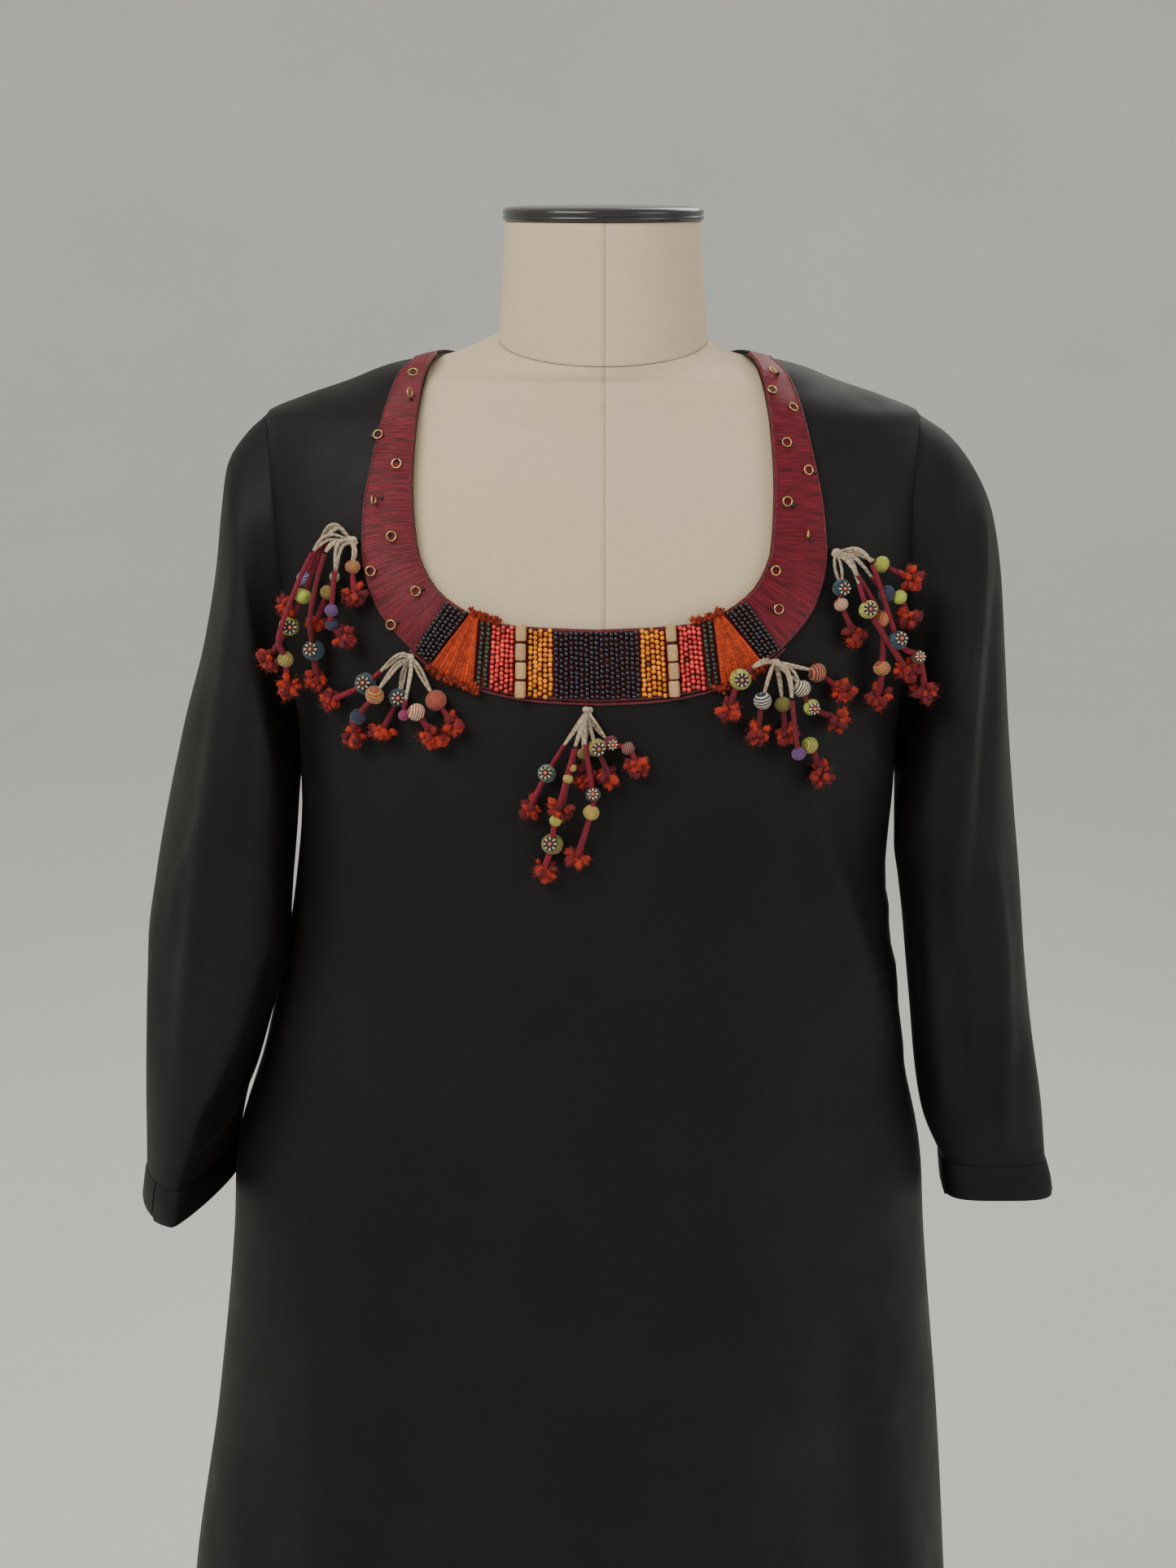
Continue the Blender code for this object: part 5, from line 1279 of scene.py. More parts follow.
def closed_loft(name, grid):
    """Rings joined into a closed body with flat ends; uv runs round it and up it, in metres."""
    rows, sides = grid.shape[:2]
    grid = np.concatenate([grid, grid[:, :1]], axis=1)
    around = np.cumsum(np.linalg.norm(np.diff(grid, axis=1, prepend=grid[:, :1]), axis=2), axis=1)
    around -= around[:, [3 * sides // 4]]
    along = np.cumsum(np.linalg.norm(np.diff(grid, axis=0, prepend=grid[:1]), axis=2), axis=0)
    up = np.repeat(along.mean(axis=1)[:, None], sides + 1, axis=1)
    uv = np.stack([around, up], axis=2)
    faces = grid_faces(rows, sides + 1)
    points = grid.reshape(-1, 3)
    low, high = len(points), len(points) + 1
    points = np.concatenate([points, [grid[0].mean(axis=0)], [grid[-1].mean(axis=0)]])
    uv = np.concatenate([uv.reshape(-1, 2), [[0, 0], [0, 0]]])
    for c in range(sides):
        faces.append([low, c + 1, c])
        faces.append([high, (rows - 1) * (sides + 1) + c, (rows - 1) * (sides + 1) + c + 1])
    mesh = fine_mesh(name, points, faces, uv)
    bm = bmesh.new()
    bm.from_mesh(mesh)
    bmesh.ops.remove_doubles(bm, verts=bm.verts, dist=1e-6)
    bmesh.ops.recalc_face_normals(bm, faces=bm.faces)
    bm.to_mesh(mesh)
    bm.free()
    mesh.set_sharp_from_angle(angle=math.radians(50))
    return mesh


def neck_mesh(sides=96):
    angles = np.linspace(0, 2 * math.pi, sides, endpoint=False)
    grid = []
    profile = ((0.0, -0.0004), (0.004, -0.0001), (0.02, 0.0), (0.25, -0.0003), (0.5, -0.0006),
               (0.75, -0.0004), (0.94, 0.0), (0.985, -0.0003), (1.0, -0.0009))
    for share, off in profile:
        radius = NECK_RADIUS + (NECK_TOP_RADIUS - NECK_RADIUS) * share + off
        x, y = radius * np.cos(angles), radius * np.sin(angles)
        z = (FORM_TOP_Z + GAP + NECK_TILT * y) * (1 - share) + NECK_TOP_Z * share
        grid.append(np.stack([x, y, z], axis=1))
    return closed_loft("form_neck", np.array(grid))


def turned_mesh(name, profile, sides=96):
    """A turned body from (radius, height) points listed from the top down."""
    angles = np.linspace(0, 2 * math.pi, sides, endpoint=False)
    rows = [(radius, z) for radius, z in profile if radius > 0][::-1]
    around, across = np.cos(angles), np.sin(angles)
    grid = np.array([np.stack([r * around, r * across, np.full(sides, z)], axis=1) for r, z in rows])
    return closed_loft(name, grid)


# Small repeated things, grown by node trees


def growing_tree(kind):
    """A node tree that puts one small shape on each point, turned and sized by the point."""
    tree = bpy.data.node_groups.get("grow_" + kind)
    if tree:
        return tree
    tree = bpy.data.node_groups.new("grow_" + kind, "GeometryNodeTree")
    sockets = (("Points", "Geometry"), ("Radius", "Float"), ("Length", "Float"), ("Sides", "Int"),
               ("Rings", "Int"), ("Roughness", "Float"), ("Seed", "Float"), ("Material", "Material"))
    for label, value in sockets:
        tree.interface.new_socket(label, in_out="INPUT", socket_type="NodeSocket" + value)
    tree.interface.new_socket("Geometry", in_out="OUTPUT", socket_type="NodeSocketGeometry")
    given = tree.nodes.new("NodeGroupInput").outputs
    if kind == "fibre":
        made = add(tree, "GeometryNodeMeshCone", {
            "Vertices": given["Sides"], "Radius Top": 0.0, "Radius Bottom": given["Radius"],
            "Depth": given["Length"]}).outputs[0]
    elif kind == "ring":
        path, wire = (
            add(tree, "GeometryNodeCurvePrimitiveCircle", {
                "Resolution": given[parts], "Radius": given[radius]})
            for parts, radius in (("Sides", "Length"), ("Rings", "Radius"))
        )
        made = add(tree, "GeometryNodeCurveToMesh", {
            "Curve": path.outputs[0], "Profile Curve": wire.outputs[0]}).outputs[0]
    else:
        ball = add(tree, "GeometryNodeMeshUVSphere", {
            "Segments": given["Sides"], "Rings": given["Rings"], "Radius": 1.0}).outputs[0]
        size = add(tree, "ShaderNodeCombineXYZ", {0: given["Radius"], 1: given["Radius"], 2: given["Length"]})
        made = add(tree, "GeometryNodeTransform", {"Geometry": ball, "Scale": size.outputs[0]}).outputs[0]
    place = add(tree, "GeometryNodeInputPosition").outputs[0]
    spot = add(tree, "ShaderNodeVectorMath", {0: place, 3: 1000.0}, operation="SCALE").outputs[0]
    made = add(tree, "GeometryNodeStoreNamedAttribute", {
        "Geometry": made, "Name": "spot", "Value": spot}, data_type="FLOAT_VECTOR").outputs[0]
    turn, size = (
        add(tree, "GeometryNodeInputNamedAttribute", {"Name": name}, data_type="FLOAT_VECTOR").outputs[0]
        for name in ("turn", "size")
    )
    turn = add(tree, "FunctionNodeEulerToRotation", {0: turn}).outputs[0]
    each = add(tree, "GeometryNodeInstanceOnPoints", {
        "Points": given["Points"], "Instance": made, "Rotation": turn, "Scale": size}).outputs[0]
    solid = add(tree, "GeometryNodeRealizeInstances", {"Geometry": each}).outputs[0]
    place = add(tree, "GeometryNodeInputPosition").outputs[0]
    where = add(tree, "ShaderNodeVectorMath", {0: place, 3: 700.0}, operation="SCALE").outputs[0]
    noise = {"Vector": where, "W": given["Seed"], "Scale": 1.0, "Detail": 1.0}
    rough = add(tree, "ShaderNodeTexNoise", noise, noise_dimensions="4D").outputs["Color"]
    rough = add(tree, "ShaderNodeVectorMath", {0: rough, 1: (0.5, 0.5, 0.5)}, operation="SUBTRACT").outputs[0]
    rough = add(tree, "ShaderNodeVectorMath", {0: rough, 3: given["Roughness"]}, operation="SCALE").outputs[0]
    uneven = add(tree, "GeometryNodeSetPosition", {"Geometry": solid, "Offset": rough}).outputs[0]
    even = add(tree, "GeometryNodeSetShadeSmooth", {"Geometry": uneven}).outputs[0]
    painted = add(tree, "GeometryNodeSetMaterial", {
        "Geometry": even, "Material": given["Material"]}).outputs[0]
    tree.links.new(painted, tree.nodes.new("NodeGroupOutput").inputs[0])
    return tree


def grown(name, kind, places, turns, sizes, tints, finish, stripes=None, **values):
    """A plain mesh with one small shape at each place."""
    count = len(places)
    mesh = bpy.data.meshes.new(name)
    mesh.from_pydata([tuple(p) for p in places], [], [])
    sizes = np.asarray(sizes, float)
    if sizes.ndim < 2:
        sizes = np.repeat(np.broadcast_to(sizes, (count,))[:, None], 3, axis=1)
    for key, data in (("turn", turns), ("size", sizes)):
        layer = mesh.attributes.new(key, "FLOAT_VECTOR", "POINT")
        layer.data.foreach_set("vector", np.array(np.broadcast_to(data, (count, 3)), np.float32).ravel())
    for key, data in (("tint", tints), ("stripe", tints if stripes is None else stripes)):
        colours = np.ones((count, 4), np.float32)
        colours[:, :3] = data
        mesh.attributes.new(key, "FLOAT_COLOR", "POINT").data.foreach_set("color", colours.ravel())
    seedling = bpy.data.objects.new(name, mesh)
    bpy.context.scene.collection.objects.link(seedling)
    growth = seedling.modifiers.new("grow", "NODES")
    growth.node_group = growing_tree(kind)
    given = {"Sides": 8, "Rings": 5, "Roughness": 0.0, "Seed": 1.0, "Material": finish, **values}
    for item in growth.node_group.interface.items_tree:
        if item.name in given:
            growth[item.identifier] = given[item.name]
    full = bpy.data.meshes.new_from_object(seedling.evaluated_get(bpy.context.evaluated_depsgraph_get()))
    bpy.data.objects.remove(seedling)
    bpy.data.meshes.remove(mesh)
    for key in ("turn", "size"):
        if key in full.attributes:
            full.attributes.remove(full.attributes[key])
    return full


def joined(name, *meshes):
    """One mesh from several."""
    parts = [bpy.data.objects.new(name, mesh) for mesh in meshes]
    for part in parts:
        bpy.context.scene.collection.objects.link(part)
    with bpy.context.temp_override(active_object=parts[0], object=parts[0],
                                   selected_objects=parts, selected_editable_objects=parts):
        bpy.ops.object.join()
    mesh = parts[0].data
    bpy.data.objects.remove(parts[0])
    return mesh


def facing(ways, outs=None):
    """Turns with Z along each way, and Y as near as can be to each out."""
    turns = []
    outs = np.broadcast_to((0.31, 0.9, 0.3) if outs is None else outs, np.shape(ways))
    for z, y in zip(ways, outs):
        z = Vector(z).normalized()
        x = Vector(y).cross(z).normalized()
        turns.append(tuple(Matrix((x, z.cross(x), z)).transposed().to_euler()))
    return np.array(turns)


def unit(rows):
    return rows / np.linalg.norm(rows, axis=-1, keepdims=True)


def varied(rng, colour, count, share=0.25):
    """The colour, a little lighter or darker for each of many."""
    level = 1 + share * rng.normal(0, 1, (count, 1))
    tilt = 1 + 0.3 * share * rng.normal(0, 1, (count, 3))
    return np.clip(np.array(colour) * level * tilt, 0.002, 1)


def smooth_path(points, count):
    points = np.asarray(points, float)
    along = lengths(points)
    at = np.linspace(0, along[-1], count)
    padded = np.concatenate([[2 * points[0] - points[1]], points, [2 * points[-1] - points[-2]]])
    k = np.clip(np.searchsorted(along, at, side="right") - 1, 0, len(points) - 2)
    t = ((at - along[k]) / (along[k + 1] - along[k]))[:, None]
    a, b, c, d = (padded[k + n] for n in range(4))
    return 0.5 * (2 * b + (c - a) * t + (2 * a - 5 * b + 4 * c - d) * t**2 + (3 * b - a - 3 * c + d) * t**3)


def tube(path, radii, tint, sides=8):
    """Points, faces, uv and tints of a closed tube along a path."""
    path = np.asarray(path, float)
    radii = np.broadcast_to(radii, (len(path),))
    along = lengths(path)
    ahead = unit(np.gradient(path, axis=0))
    beside = np.cross(ahead[0], (0.3, 1.0, 0.2))
    angles = np.linspace(0, 2 * math.pi, sides, endpoint=False)
    points, uv = [], []
    for k, centre in enumerate(path):
        beside = unit(beside - ahead[k] * (beside @ ahead[k]))
        up = np.cross(ahead[k], beside)
        points += [centre + radii[k] * (math.cos(a) * beside + math.sin(a) * up) for a in angles]
        uv += [(radii.mean() * a, along[k]) for a in angles]
    faces = grid_faces(len(path), sides, closed=True)
    points += [path[0], path[-1]]
    uv += [(0, 0), (0, along[-1])]
    low, high, top = len(points) - 2, len(points) - 1, (len(path) - 1) * sides
    for n in range(sides):
        m = (n + 1) % sides
        faces += [[low, m, n], [high, top + n, top + m]]
    return np.array(points), faces, np.array(uv), np.tile(tint, (len(points), 1))


def tubes_mesh(name, pieces, finish):
    """One mesh from several tubes."""
    faces, start = [], 0
    for piece in pieces:
        faces += [[f + start for f in face] for face in piece[1]]
        start += len(piece[0])
    points, uv, tints = (np.concatenate([piece[k] for piece in pieces]) for k in (0, 2, 3))
    mesh = fine_mesh(name, points, faces, uv, tints)
    bm = bmesh.new()
    bm.from_mesh(mesh)
    bmesh.ops.recalc_face_normals(bm, faces=bm.faces)
    bm.to_mesh(mesh)
    bm.free()
    mesh.materials.append(finish)
    return mesh


# Beadwork, wool and bone


def bead_finish(name, colour, roughness=0.22):
    """Small shiny beads, each a little different, with a soft inner tone."""
    made, tree, shader = finish_named(name, colour, roughness, Coat_Weight=0.35, Coat_Roughness=0.15)
    where, tint = own_place(tree), own_tint(tree)
    tone = grain(tree, where, 260.0, 2.0)
    deep = blend(tree, 1.0, tint, (0.55, 0.5, 0.5), "MULTIPLY")
    tree.links.new(blend(tree, stretch(tree, tone, 0.4, 0.7), tint, deep), shader.inputs["Base Color"])
    rough = stretch(tree, tone, 0.3, 0.7, roughness * 0.7, roughness * 1.5)
    tree.links.new(rough, shader.inputs["Roughness"])
    tree.links.new(relief(tree, grain(tree, where, 900.0), 0.00008, 0.35), shader.inputs["Normal"])
    return made


def strung_beads(name, side, inner_range, outer_range, columns, colour, finish, node, seed):
    """Seed beads on strings that run across the band."""
    rng = np.random.default_rng(seed)
    settings = bpy.context.scene.tunic_beads
    places, ways, outs = [], [], []
    for share in (np.arange(columns) + 0.5) / columns:
        inner = inner_range[0] * (1 - share) + inner_range[1] * share
        outer = outer_range[0] * (1 - share) + outer_range[1] * share
        flip = side if inner >= 0 else -side
        count = settings.beads_a_string + int(rng.integers(-1, 1))
        slide = 0.5 + rng.uniform(-0.35, 0.35) + rng.uniform(-0.10, 0.10, count)
        across = 0.028 + 0.944 * (np.arange(count) + slide) / count
        line = band_points(flip, [abs(inner)], [abs(outer)], across)[0]
        way, away = unit(np.gradient(line, axis=0)), normals(line)
        shake = np.cross(way, away) * rng.normal(0, 0.00016, (count, 1))
        places.append(lifted(line, band_top(across) + GAP + settings.seed_radius * 0.85) + shake)
        ways.append(way + rng.normal(0, 0.08, way.shape))
        outs.append(away)
    places, ways, outs = (np.concatenate(rows) for rows in (places, ways, outs))
    sizes = np.clip(1 + rng.normal(0, 0.05, (len(places), 3)), 0.85, 1.12)
    length = 0.0196 / settings.beads_a_string
    mesh = grown(name, "bead", places, facing(ways, outs), sizes, varied(rng, colour, len(places)),
                 finish, Radius=settings.seed_radius, Length=length)
    return placed(name, mesh, None, node.removeprefix("left_").removeprefix("right_"), node)


def fluff(rng, name, centres, outs, reach, colour, finish):
    """Loose cut ends: short soft lobes and thin fibres round each centre."""
    centres, outs = np.repeat(centres, 6, axis=0), np.repeat(outs, 6, axis=0)
    away = unit(rng.normal(0, 1, centres.shape) + 0.9 * outs)
    places = centres + away * reach * rng.uniform(0.15, 0.7, (len(centres), 1))
    tints = varied(rng, colour, len(places), 0.3)
    lobes = grown(name, "bead", places, facing(away), rng.uniform(0.6, 1.25, len(places)), tints, finish,
                  Radius=reach * 0.26, Length=reach * 0.46, Roughness=reach * 0.55, Seed=3.0)
    many = np.repeat(np.arange(len(centres)), 3)
    away = unit(rng.normal(0, 1, (len(many), 3)) + 0.8 * outs[many])
    hairs = grown(name, "fibre", places[many] + away * reach * 0.35, facing(away),
                  rng.uniform(0.5, 1.3, len(many)), tints[many], finish,
                  Radius=0.00011, Length=reach * 0.9, Sides=3)
    return joined(name, lobes, hairs)


def wool_wedge(name, side, finish, seed):
    """Yarn fanned across the band between two edges, with its fluffy cut ends at both."""
    rng = np.random.default_rng(seed)
    _, inner_from, inner_to, outer_from, outer_to, _ = {row[0]: row for row in PAD_ROWS}["wool_wedge"]
    colour = tuple(bpy.context.scene.tunic_beads.wool)
    count = bpy.context.scene.tunic_beads.wool_strands
    across = np.linspace(0.0, 1.0, 22)
    pieces = []
    for layer in range(2):
        for k in range(count):
            share = (k + 0.5 + 0.5 * layer) / (count + 0.5)
            inner = inner_from + WOOL_MARGIN + (inner_to - inner_from - 2 * WOOL_MARGIN) * share
            outer = outer_from + WOOL_MARGIN + (outer_to - outer_from - 2 * WOOL_MARGIN) * share
            line = band_points(side, [inner], [outer], across)[0]
            pitch = ((inner_to - inner_from) * (1 - across) + (outer_to - outer_from) * across) / count
            radius = np.clip(pitch * 0.62, 0.0006, 0.0015)
            wave = 0.00012 * np.sin(across * rng.uniform(9, 15) + rng.uniform(0, 6))
            crown = 0.0010 * np.sqrt(np.clip(np.sin(math.pi * across), 0, 1)) + 0.0006 * layer
            path = lifted(line, band_top(across) + GAP + radius * 0.8 + crown + wave)
            pieces.append(tube(path, radius, varied(rng, colour, 1, 0.16)[0], 7))
    meshes = [tubes_mesh(name, pieces, finish)]
    for share, reach, inner_spread, outer_spread in (
        (-0.035, 0.0034, (inner_from - 0.0115, inner_to), (outer_from - 0.010, outer_to)),
        (1.045, 0.0042, (inner_from, inner_to), (outer_from - 0.0015, outer_to + 0.0005)),
    ):
        inner_at, outer_at = (np.linspace(*spread, 15) for spread in (inner_spread, outer_spread))
        line = band_points(side, inner_at, outer_at, [share])[:, 0]
        line = lifted(line, CLOTH + BAND_LIFT + reach * 0.75)
        meshes.append(fluff(rng, name, line, normals(line), reach, colour, finish))
    return placed(name, joined(name, *meshes), None, "orange_wool", name)


def bone_finish():
    """Cut bone: cream with fine brown grain along the tube."""
    made, tree, shader = finish_named("bone", (0.60, 0.45, 0.28), 0.45, Subsurface_Weight=0.05)
    where, tint = own_place(tree), own_tint(tree)
    along = drawn_out(tree, where, (1500, 1500, 160))
    fine = grain(tree, along, 1.0, 3.0)
    base = blend(tree, stretch(tree, fine, 0.45, 0.75, 0.0, 0.6), tint, (0.24, 0.12, 0.045))
    tree.links.new(base, shader.inputs["Base Color"])
    tree.links.new(relief(tree, fine, 0.00015, 0.5), shader.inputs["Normal"])
    return made


def bone_tubes(name, side, finish, seed):
    """Four bone tubes on a dark thread across the band."""
    rng = np.random.default_rng(seed)
    ends = band_points(side, [BONE_PLACE[0]], [BONE_PLACE[1]], (0, 1))[0]
    ends = lifted(ends, band_top(0.5) + GAP + BONE_RADIUS)
    middle, way = (ends[0] + ends[1]) / 2, unit(ends[1] - ends[0])
    thread = [middle - way * BONE_THREAD_REACH, middle + way * BONE_THREAD_REACH]
    pieces = [tube(thread, BONE_THREAD_RADIUS, BONE_THREAD_COLOUR, 6)]
    stations, shares = np.array(BONE_PROFILE).T
    for k in range(BONE_COUNT):
        centre = middle + way * (k - (BONE_COUNT - 1) / 2) * BONE_SPACING + rng.normal(0, 0.00018, 3)
        half = BONE_LENGTH / 2 * rng.uniform(0.91, 0.97)
        radii = BONE_RADIUS * shares * rng.uniform(0.95, 1.0)
        tint = varied(rng, BONE_COLOUR, 1, 0.10)[0]
        pieces.append(tube(centre + stations[:, None] * half * way, radii, tint, 16))
    return placed(name, tubes_mesh(name, pieces, finish), None, "bone", name)


def brass_finish():
    """Brass wire, dulled in places."""
    made, tree, shader = finish_named("brass_wire", (0.62, 0.42, 0.16), 0.3, 1.0)
    where = own_place(tree)
    worn = grain(tree, where, 500.0, 3.0)
    base = blend(tree, stretch(tree, worn, 0.4, 0.7), (0.66, 0.46, 0.18), (0.26, 0.16, 0.06))
    tree.links.new(base, shader.inputs["Base Color"])
    tree.links.new(stretch(tree, worn, 0.3, 0.7, 0.22, 0.48), shader.inputs["Roughness"])
    tree.links.new(relief(tree, worn, 0.00006, 0.4), shader.inputs["Normal"])
    return made


def band_rings_mesh(brass, black):
    """The small sewn rings, each with a black seed bead beside it."""
    rng = np.random.default_rng(5)
    places, turns, beads = [], [], []
    for x, z, tilt, sink in BAND_RINGS:
        ground = onto_body(edge_point(np.array([x - section(z)[0]]), np.array([z]), FRONT))
        out = Vector(normals(ground)[0])
        reach = RING_WIRE + RING_RADIUS * math.sin(math.radians(tilt))
        places.append(lifted(ground, band_top(0.5) + GAP + reach - sink)[0])
        turn = out.to_track_quat("Z", "Y").to_matrix() @ Matrix.Rotation(math.radians(tilt), 3, "Y")
        turns.append(tuple(turn.to_euler()))
        angle = rng.uniform(0, 2 * math.pi)
        beside = onto_body(ground + 0.0040 * np.array([math.cos(angle), 0, math.sin(angle)]))
        beads.append(lifted(beside, band_top(0.5) + 0.0006)[0])
    rings = grown("rings", "ring", places, turns, 1.0, [(0.6, 0.4, 0.15)] * len(places), brass,
                  Radius=RING_WIRE, Length=RING_RADIUS, Sides=24, Rings=8)
    seeds = grown("ring_beads", "bead", beads, (0, 0, 0), 1.0, [(0.012, 0.011, 0.012)] * len(beads), black,
                  Radius=0.0011, Length=0.0010)
    return joined("band_rings", rings, seeds)


def band_edge_mesh(finish):
    """The row of slanted stitches along both edges of the band, and the thin cord below the beadwork."""
    rng = np.random.default_rng(6)
    colour = tuple(bpy.context.scene.tunic_band.thread_colour)
    pitch = bpy.context.scene.tunic_band.edge_pitch
    places, ways, outs = [], [], []
    for _, side in SIDES:
        inner_line, outer_line = band_lines(side)
        inner_end, outer_end = (lengths(line)[-1] * BAND_SHARE for line in (inner_line, outer_line))
        for share, end in ((0.03, inner_end), (0.97, outer_end)):
            count = int(end / pitch)
            at = (np.arange(count) + 0.5) / count
            line = band_points(side, inner_end * at, outer_end * at, [share])[:, 0]
            away, way = normals(line), unit(np.gradient(line, axis=0))
            places.append(lifted(line, band_top(share) + 0.0001))
            ways.append(way + 0.45 * np.cross(way, away) + rng.normal(0, 0.05, way.shape))
            outs.append(away)
    places, ways, outs = (np.concatenate(rows) for rows in (places, ways, outs))
    sizes = np.clip(1 + rng.normal(0, 0.08, (len(places), 3)), 0.8, 1.2)
    stitches = grown("edge", "bead", places, facing(ways, outs), sizes, varied(rng, colour, len(places), 0.3),
                     finish, Radius=0.00048, Length=pitch * 0.62, Sides=6)
    cords = []
    for _, side in SIDES:
        line = band_points(side, np.linspace(0, 0.100, 60), np.linspace(0, 0.114, 60), [1.035])[:, 0]
        cords.append(tube(lifted(line, CLOTH + 0.0009), 0.0009, colour, 7))
    return joined("band_edge", stitches, tubes_mesh("cord", cords, finish))


def vent_stitches_mesh(finish):
    """Tiny running stitches along both edges of each side vent."""
    rng = np.random.default_rng(8)
    places, ways, outs = [], [], []
    for _, side in SIDES:
        for face, folds, creases in ((FRONT, FRONT_FOLDS, FRONT_CREASES), (BACK, BACK_FOLDS, BACK_CREASES)):
            grid = cloth_grid(side, face, folds, creases)
            edge = grid[:, -1]
            edge = edge + 0.0030 * unit(grid[:, -2] - edge)
            edge = edge[(edge[:, 2] < VENT_TOP_Z - 0.002)]
            run = lengths(edge)
            at = np.arange(0.004, run[-1] - 0.002, bpy.context.scene.tunic_cloth.stitch_step)
            line = at_lengths(edge, at)
            way = unit(np.gradient(line, axis=0))
            away = unit(np.cross(way, line - at_lengths(grid[:HEM_TO_ARMPIT, -2], at)) * side * face)
            away *= np.sign((away * normals(line)).sum(axis=1, keepdims=True))
            places.append(line + away * (CLOTH + 0.0001))
            ways.append(way + rng.normal(0, 0.10, way.shape))
            outs.append(away)
    places, ways, outs = (np.concatenate(rows) for rows in (places, ways, outs))
    tints = varied(rng, VENT_THREAD, len(places), 0.3)
    return grown("vent", "bead", places, facing(ways, outs), 1.0, tints, finish,
                 Radius=0.00042, Length=0.0011, Sides=6)


# Tassels


def covered_bead_finish():
    """Beads covered in cotton, plain or with fine wound lines in a second colour."""
    made, tree, shader = finish_named("covered_beads", (0.20, 0.10, 0.04), 0.75)
    where, tint = own_place(tree), own_tint(tree)
    second = add(tree, "ShaderNodeAttribute", attribute_name="stripe").outputs["Color"]
    spot = add(tree, "ShaderNodeAttribute", attribute_name="spot").outputs["Vector"]
    tilted = add(tree, "ShaderNodeMapping", {"Vector": spot, "Rotation": (0.5, 0.35, 0)}).outputs[0]
    lines = bands(tree, tilted, 0.30, "Z", 0.8)
    base = blend(tree, stretch(tree, lines, 0.52, 0.68), tint, second)
    threads = sums(tree, "MAXIMUM", bands(tree, spot, 0.09, "X", 0.6), bands(tree, spot, 0.09, "Z", 0.6))
    tone = grain(tree, where, 300.0, 3.0)
    deep = blend(tree, 1.0, base, (0.4, 0.38, 0.36), "MULTIPLY")
    base = blend(tree, stretch(tree, tone, 0.35, 0.75, 0.6, 0.0), base, deep)
    tree.links.new(base, shader.inputs["Base Color"])
    fine = relief(tree, threads, 0.00008, 0.6)
    wound = relief(tree, lines, 0.00022, 0.6, fine)
    tree.links.new(relief(tree, tone, 0.0005, 0.35, wound), shader.inputs["Normal"])
    shader.inputs["Sheen Weight"].default_value = 0.2
    return made


def tuft_points(rng, end, way, reach):
    """A cut yarn end: thick soft lobes round the stem, bright where they are cut, and loose hairs."""
    settings = bpy.context.scene.tunic_tassels
    count = settings.tuft_lobes
    away = unit(rng.normal(0, 1, (count, 3)) + 0.9 * unit(way))
    places = end - unit(way) * reach * 0.25 + away * reach * 0.78 * rng.uniform(0.45, 1.0, (count, 1))
    bright = np.clip(rng.uniform(-0.25, 1.1, (count, 1)), 0, 1)
    tints = np.array(settings.yarn) * (1 - bright) + np.array(settings.yarn_ends) * bright
    lobes = (places, away, rng.uniform(0.75, 1.2, count), tints)
    pick = rng.integers(0, count, 5 * count)
    astray = unit(away[pick] + rng.normal(0, 0.75, (len(pick), 3)))
    hairs = (places[pick] + astray * reach * 0.22, astray, rng.uniform(0.5, 1.2, len(pick)), tints[pick])
    return lobes, hairs


def sewn_rosette(rng, centre, radius, golds, corals, grounds):
    """A ring of eight small gold beads round a coral one, on a dark ground on a bead's face."""
    out = Vector((rng.uniform(-0.35, 0.35), -1.0, rng.uniform(-0.1, 0.45))).normalized()
    side_way = out.orthogonal().normalized()
    up = out.cross(side_way)
    seat = Vector(centre) + out * radius * 0.93
    reach = min(0.0031, radius * 0.52)
    corals.append((seat + out * 0.0007, out))
    grounds.append((seat, out, reach * 1.4))
    for k in range(8):
        way = side_way * math.cos(k * math.pi / 4) + up * math.sin(k * math.pi / 4)
        golds.append((seat + way * reach + out * 0.0002, way))


def rosette_meshes(name, golds, corals, grounds, finishes):
    """The gold and coral beads of one cluster's rosettes, and the dark grounds below them."""
    meshes = []
    for group, tint, radius, length in (
        (golds, ROSETTE_GOLD, 0.00055, 0.0010),
        (corals, ROSETTE_CORAL, 0.0011, 0.0009),
    ):
        spots, ways = zip(*group)
        meshes.append(grown(name, "bead", spots, facing(ways), 1.0, [tint] * len(group), finishes["gold"],
                            Radius=radius, Length=length))
    spots, ways, reach = zip(*grounds)
    sizes = np.stack([reach, reach, np.full(len(reach), 0.0006)], axis=1) * 1000
    meshes.append(grown(name, "bead", spots, facing(ways), sizes, [ROSETTE_GROUND] * len(grounds),
                        finishes["covered"], Radius=0.001, Length=0.001, Sides=16))
    return meshes


